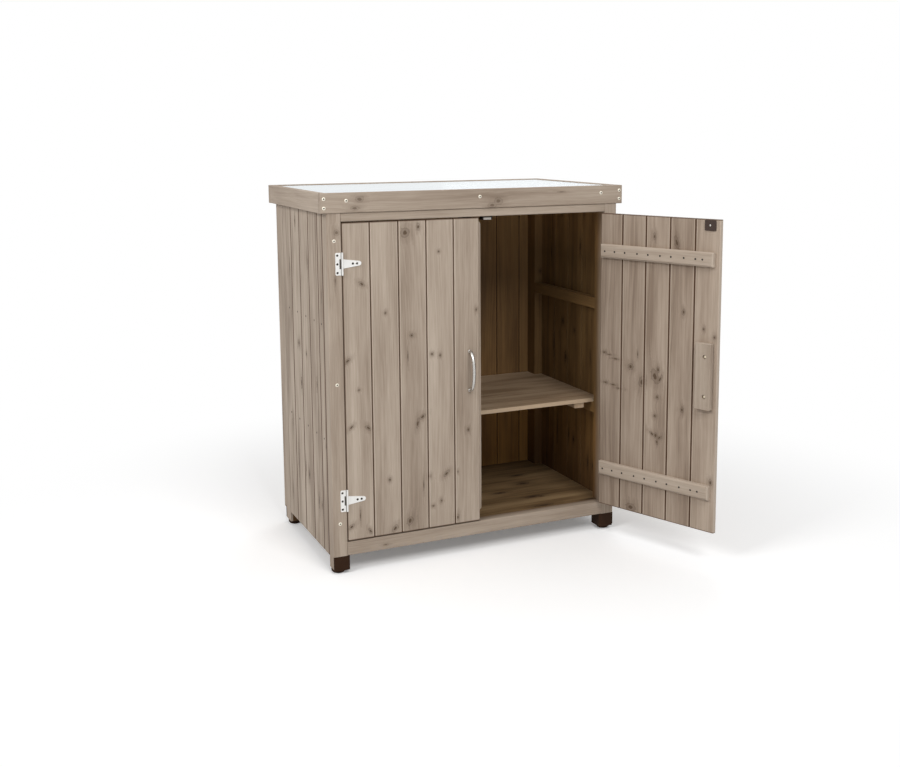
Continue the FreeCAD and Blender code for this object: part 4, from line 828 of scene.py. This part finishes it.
pale_screw = metal("pale_screw", srgb(250, 243, 226), roughness=0.5, grain=0.1, metallic=0.15, mottling=0.05)
# painted shade: the driver sockets are near black brown
socket_shade = metal("screw_socket_shade", srgb(34, 27, 22), roughness=0.6, grain=0.1, metallic=0.2)
bright_screw = metal("bright_screw", srgb(214, 210, 204), roughness=0.4, grain=0.1, metallic=0.6)
nail_steel = metal("nail_steel", srgb(36, 26, 18), roughness=0.7, grain=0.1, metallic=0.1, mottling=0.1)
bow_nickel = metal("satin_nickel_bow", srgb(192, 190, 186), roughness=0.28, grain=0.05)
make_frame_screws([pale_screw, socket_shade])
make_hinge_screws([bright_screw, socket_shade])
make_nails([nail_steel])
make_striker_screws([bright_screw, socket_shade])
for hand in ("left", "right"):
    make_handle(hand, bow_nickel)


# Studio

WHITE = (1.0, 1.0, 1.0, 1.0)


def lamp(name, place, aim, size, power):
    light = bpy.data.lights.new(name, "AREA")
    light.shape = "RECTANGLE"
    light.size = light.size_y = size
    light.energy = power
    thing = bpy.data.objects.new(name, light)
    thing.location = place
    thing.rotation_mode = "QUATERNION"
    thing.rotation_quaternion = (Vector(aim) - Vector(place)).to_track_quat("-Z", "Y")
    bpy.context.scene.collection.objects.link(thing)


def make_world(ambient):
    """Even light from all round, and plain white behind the cabinet and in its metal."""
    world = bpy.data.worlds.new("studio")
    bpy.context.scene.world = world
    shader = Shader(world, "ShaderNodeOutputWorld")
    falling = shader.node("ShaderNodeBackground", {}, {"Color": WHITE, "Strength": ambient})
    shown = shader.node("ShaderNodeBackground", {}, {"Color": WHITE, "Strength": 1.0})
    shader.end(shader.node("ShaderNodeMixShader", {}, {0: shader.seen(), 1: falling, 2: shown}))


def floor_shader():
    """Pale floor that keeps the cabinet's shadow near it and fades to plain white further off."""
    shader = new_material("studio_floor")
    _, (x, y, _) = shader.coordinates()
    away = ((x - 0.4) * (x - 0.4) + (y - 0.1) * (y - 0.1)).sqrt()
    matt = shader.node("ShaderNodeBsdfDiffuse", {}, {"Color": (0.96, 0.96, 0.96, 1.0)})
    lift = shader.node("ShaderNodeEmission", {}, {"Color": WHITE, "Strength": 0.17})
    near = shader.node("ShaderNodeAddShader", {}, {0: matt, 1: lift})
    far = shader.node("ShaderNodeEmission", {}, {"Color": WHITE, "Strength": 1.0})
    shown = shader.node("ShaderNodeMixShader", {}, {0: away.step(0.62, 1.5), 1: near, 2: far})
    plain = shader.node("ShaderNodeBsdfDiffuse", {}, {"Color": (0.75, 0.75, 0.75, 1.0)})
    return shader.end(shader.node("ShaderNodeMixShader", {}, {0: shader.seen(), 1: plain, 2: shown}))


def make_floor():
    bm = bmesh.new()
    bmesh.ops.create_circle(bm, cap_ends=True, cap_tris=False, segments=64, radius=30.0)
    mesh = bpy.data.meshes.new("studio_floor")
    bm.to_mesh(mesh)
    bm.free()
    floor = bpy.data.objects.new("studio_floor", mesh)
    bpy.context.scene.collection.objects.link(floor)
    mesh.materials.append(floor_shader())


def make_camera():
    """Stands where the photograph was taken from."""
    place = (-0.7761, -2.5002, 1.0393)
    yaw, pitch, roll = math.radians(24.519), math.radians(8.167), math.radians(-0.281)
    picture_width, focal_length, aside = 900.0, 1139.5, -26.17  # in pixels
    data = bpy.data.cameras.new("camera")
    data.sensor_fit = "HORIZONTAL"
    data.sensor_width = 36.0
    data.lens = data.sensor_width * focal_length / picture_width
    data.shift_x = aside / picture_width
    data.shift_y = -0.10
    data.clip_end = 60.0
    camera = bpy.data.objects.new("camera", data)
    bpy.context.scene.collection.objects.link(camera)
    turn = Matrix.Rotation(-yaw, 3, "Z") @ Matrix.Rotation(math.radians(90) - pitch, 3, "X")
    turn = turn @ Matrix.Rotation(roll, 3, "Z")
    camera.matrix_world = Matrix.Translation(place) @ turn.to_4x4()
    bpy.context.scene.camera = camera


make_world(ambient=0.43)
lamp("key_light", place=(0.4, -2.9, 3.0), aim=(0.4, 0.1, 0.4), size=1.4, power=57.0)
lamp("fill_light", place=(-2.4, -0.9, 2.5), aim=(0.2, 0.2, 0.4), size=1.2, power=46.0)
lamp("rear_light", place=(2.4, 2.8, 2.2), aim=(0.4, 0.2, 0.5), size=2.0, power=26.0)
make_floor()
make_camera()

scene = bpy.context.scene
scene.view_settings.view_transform = "Standard"
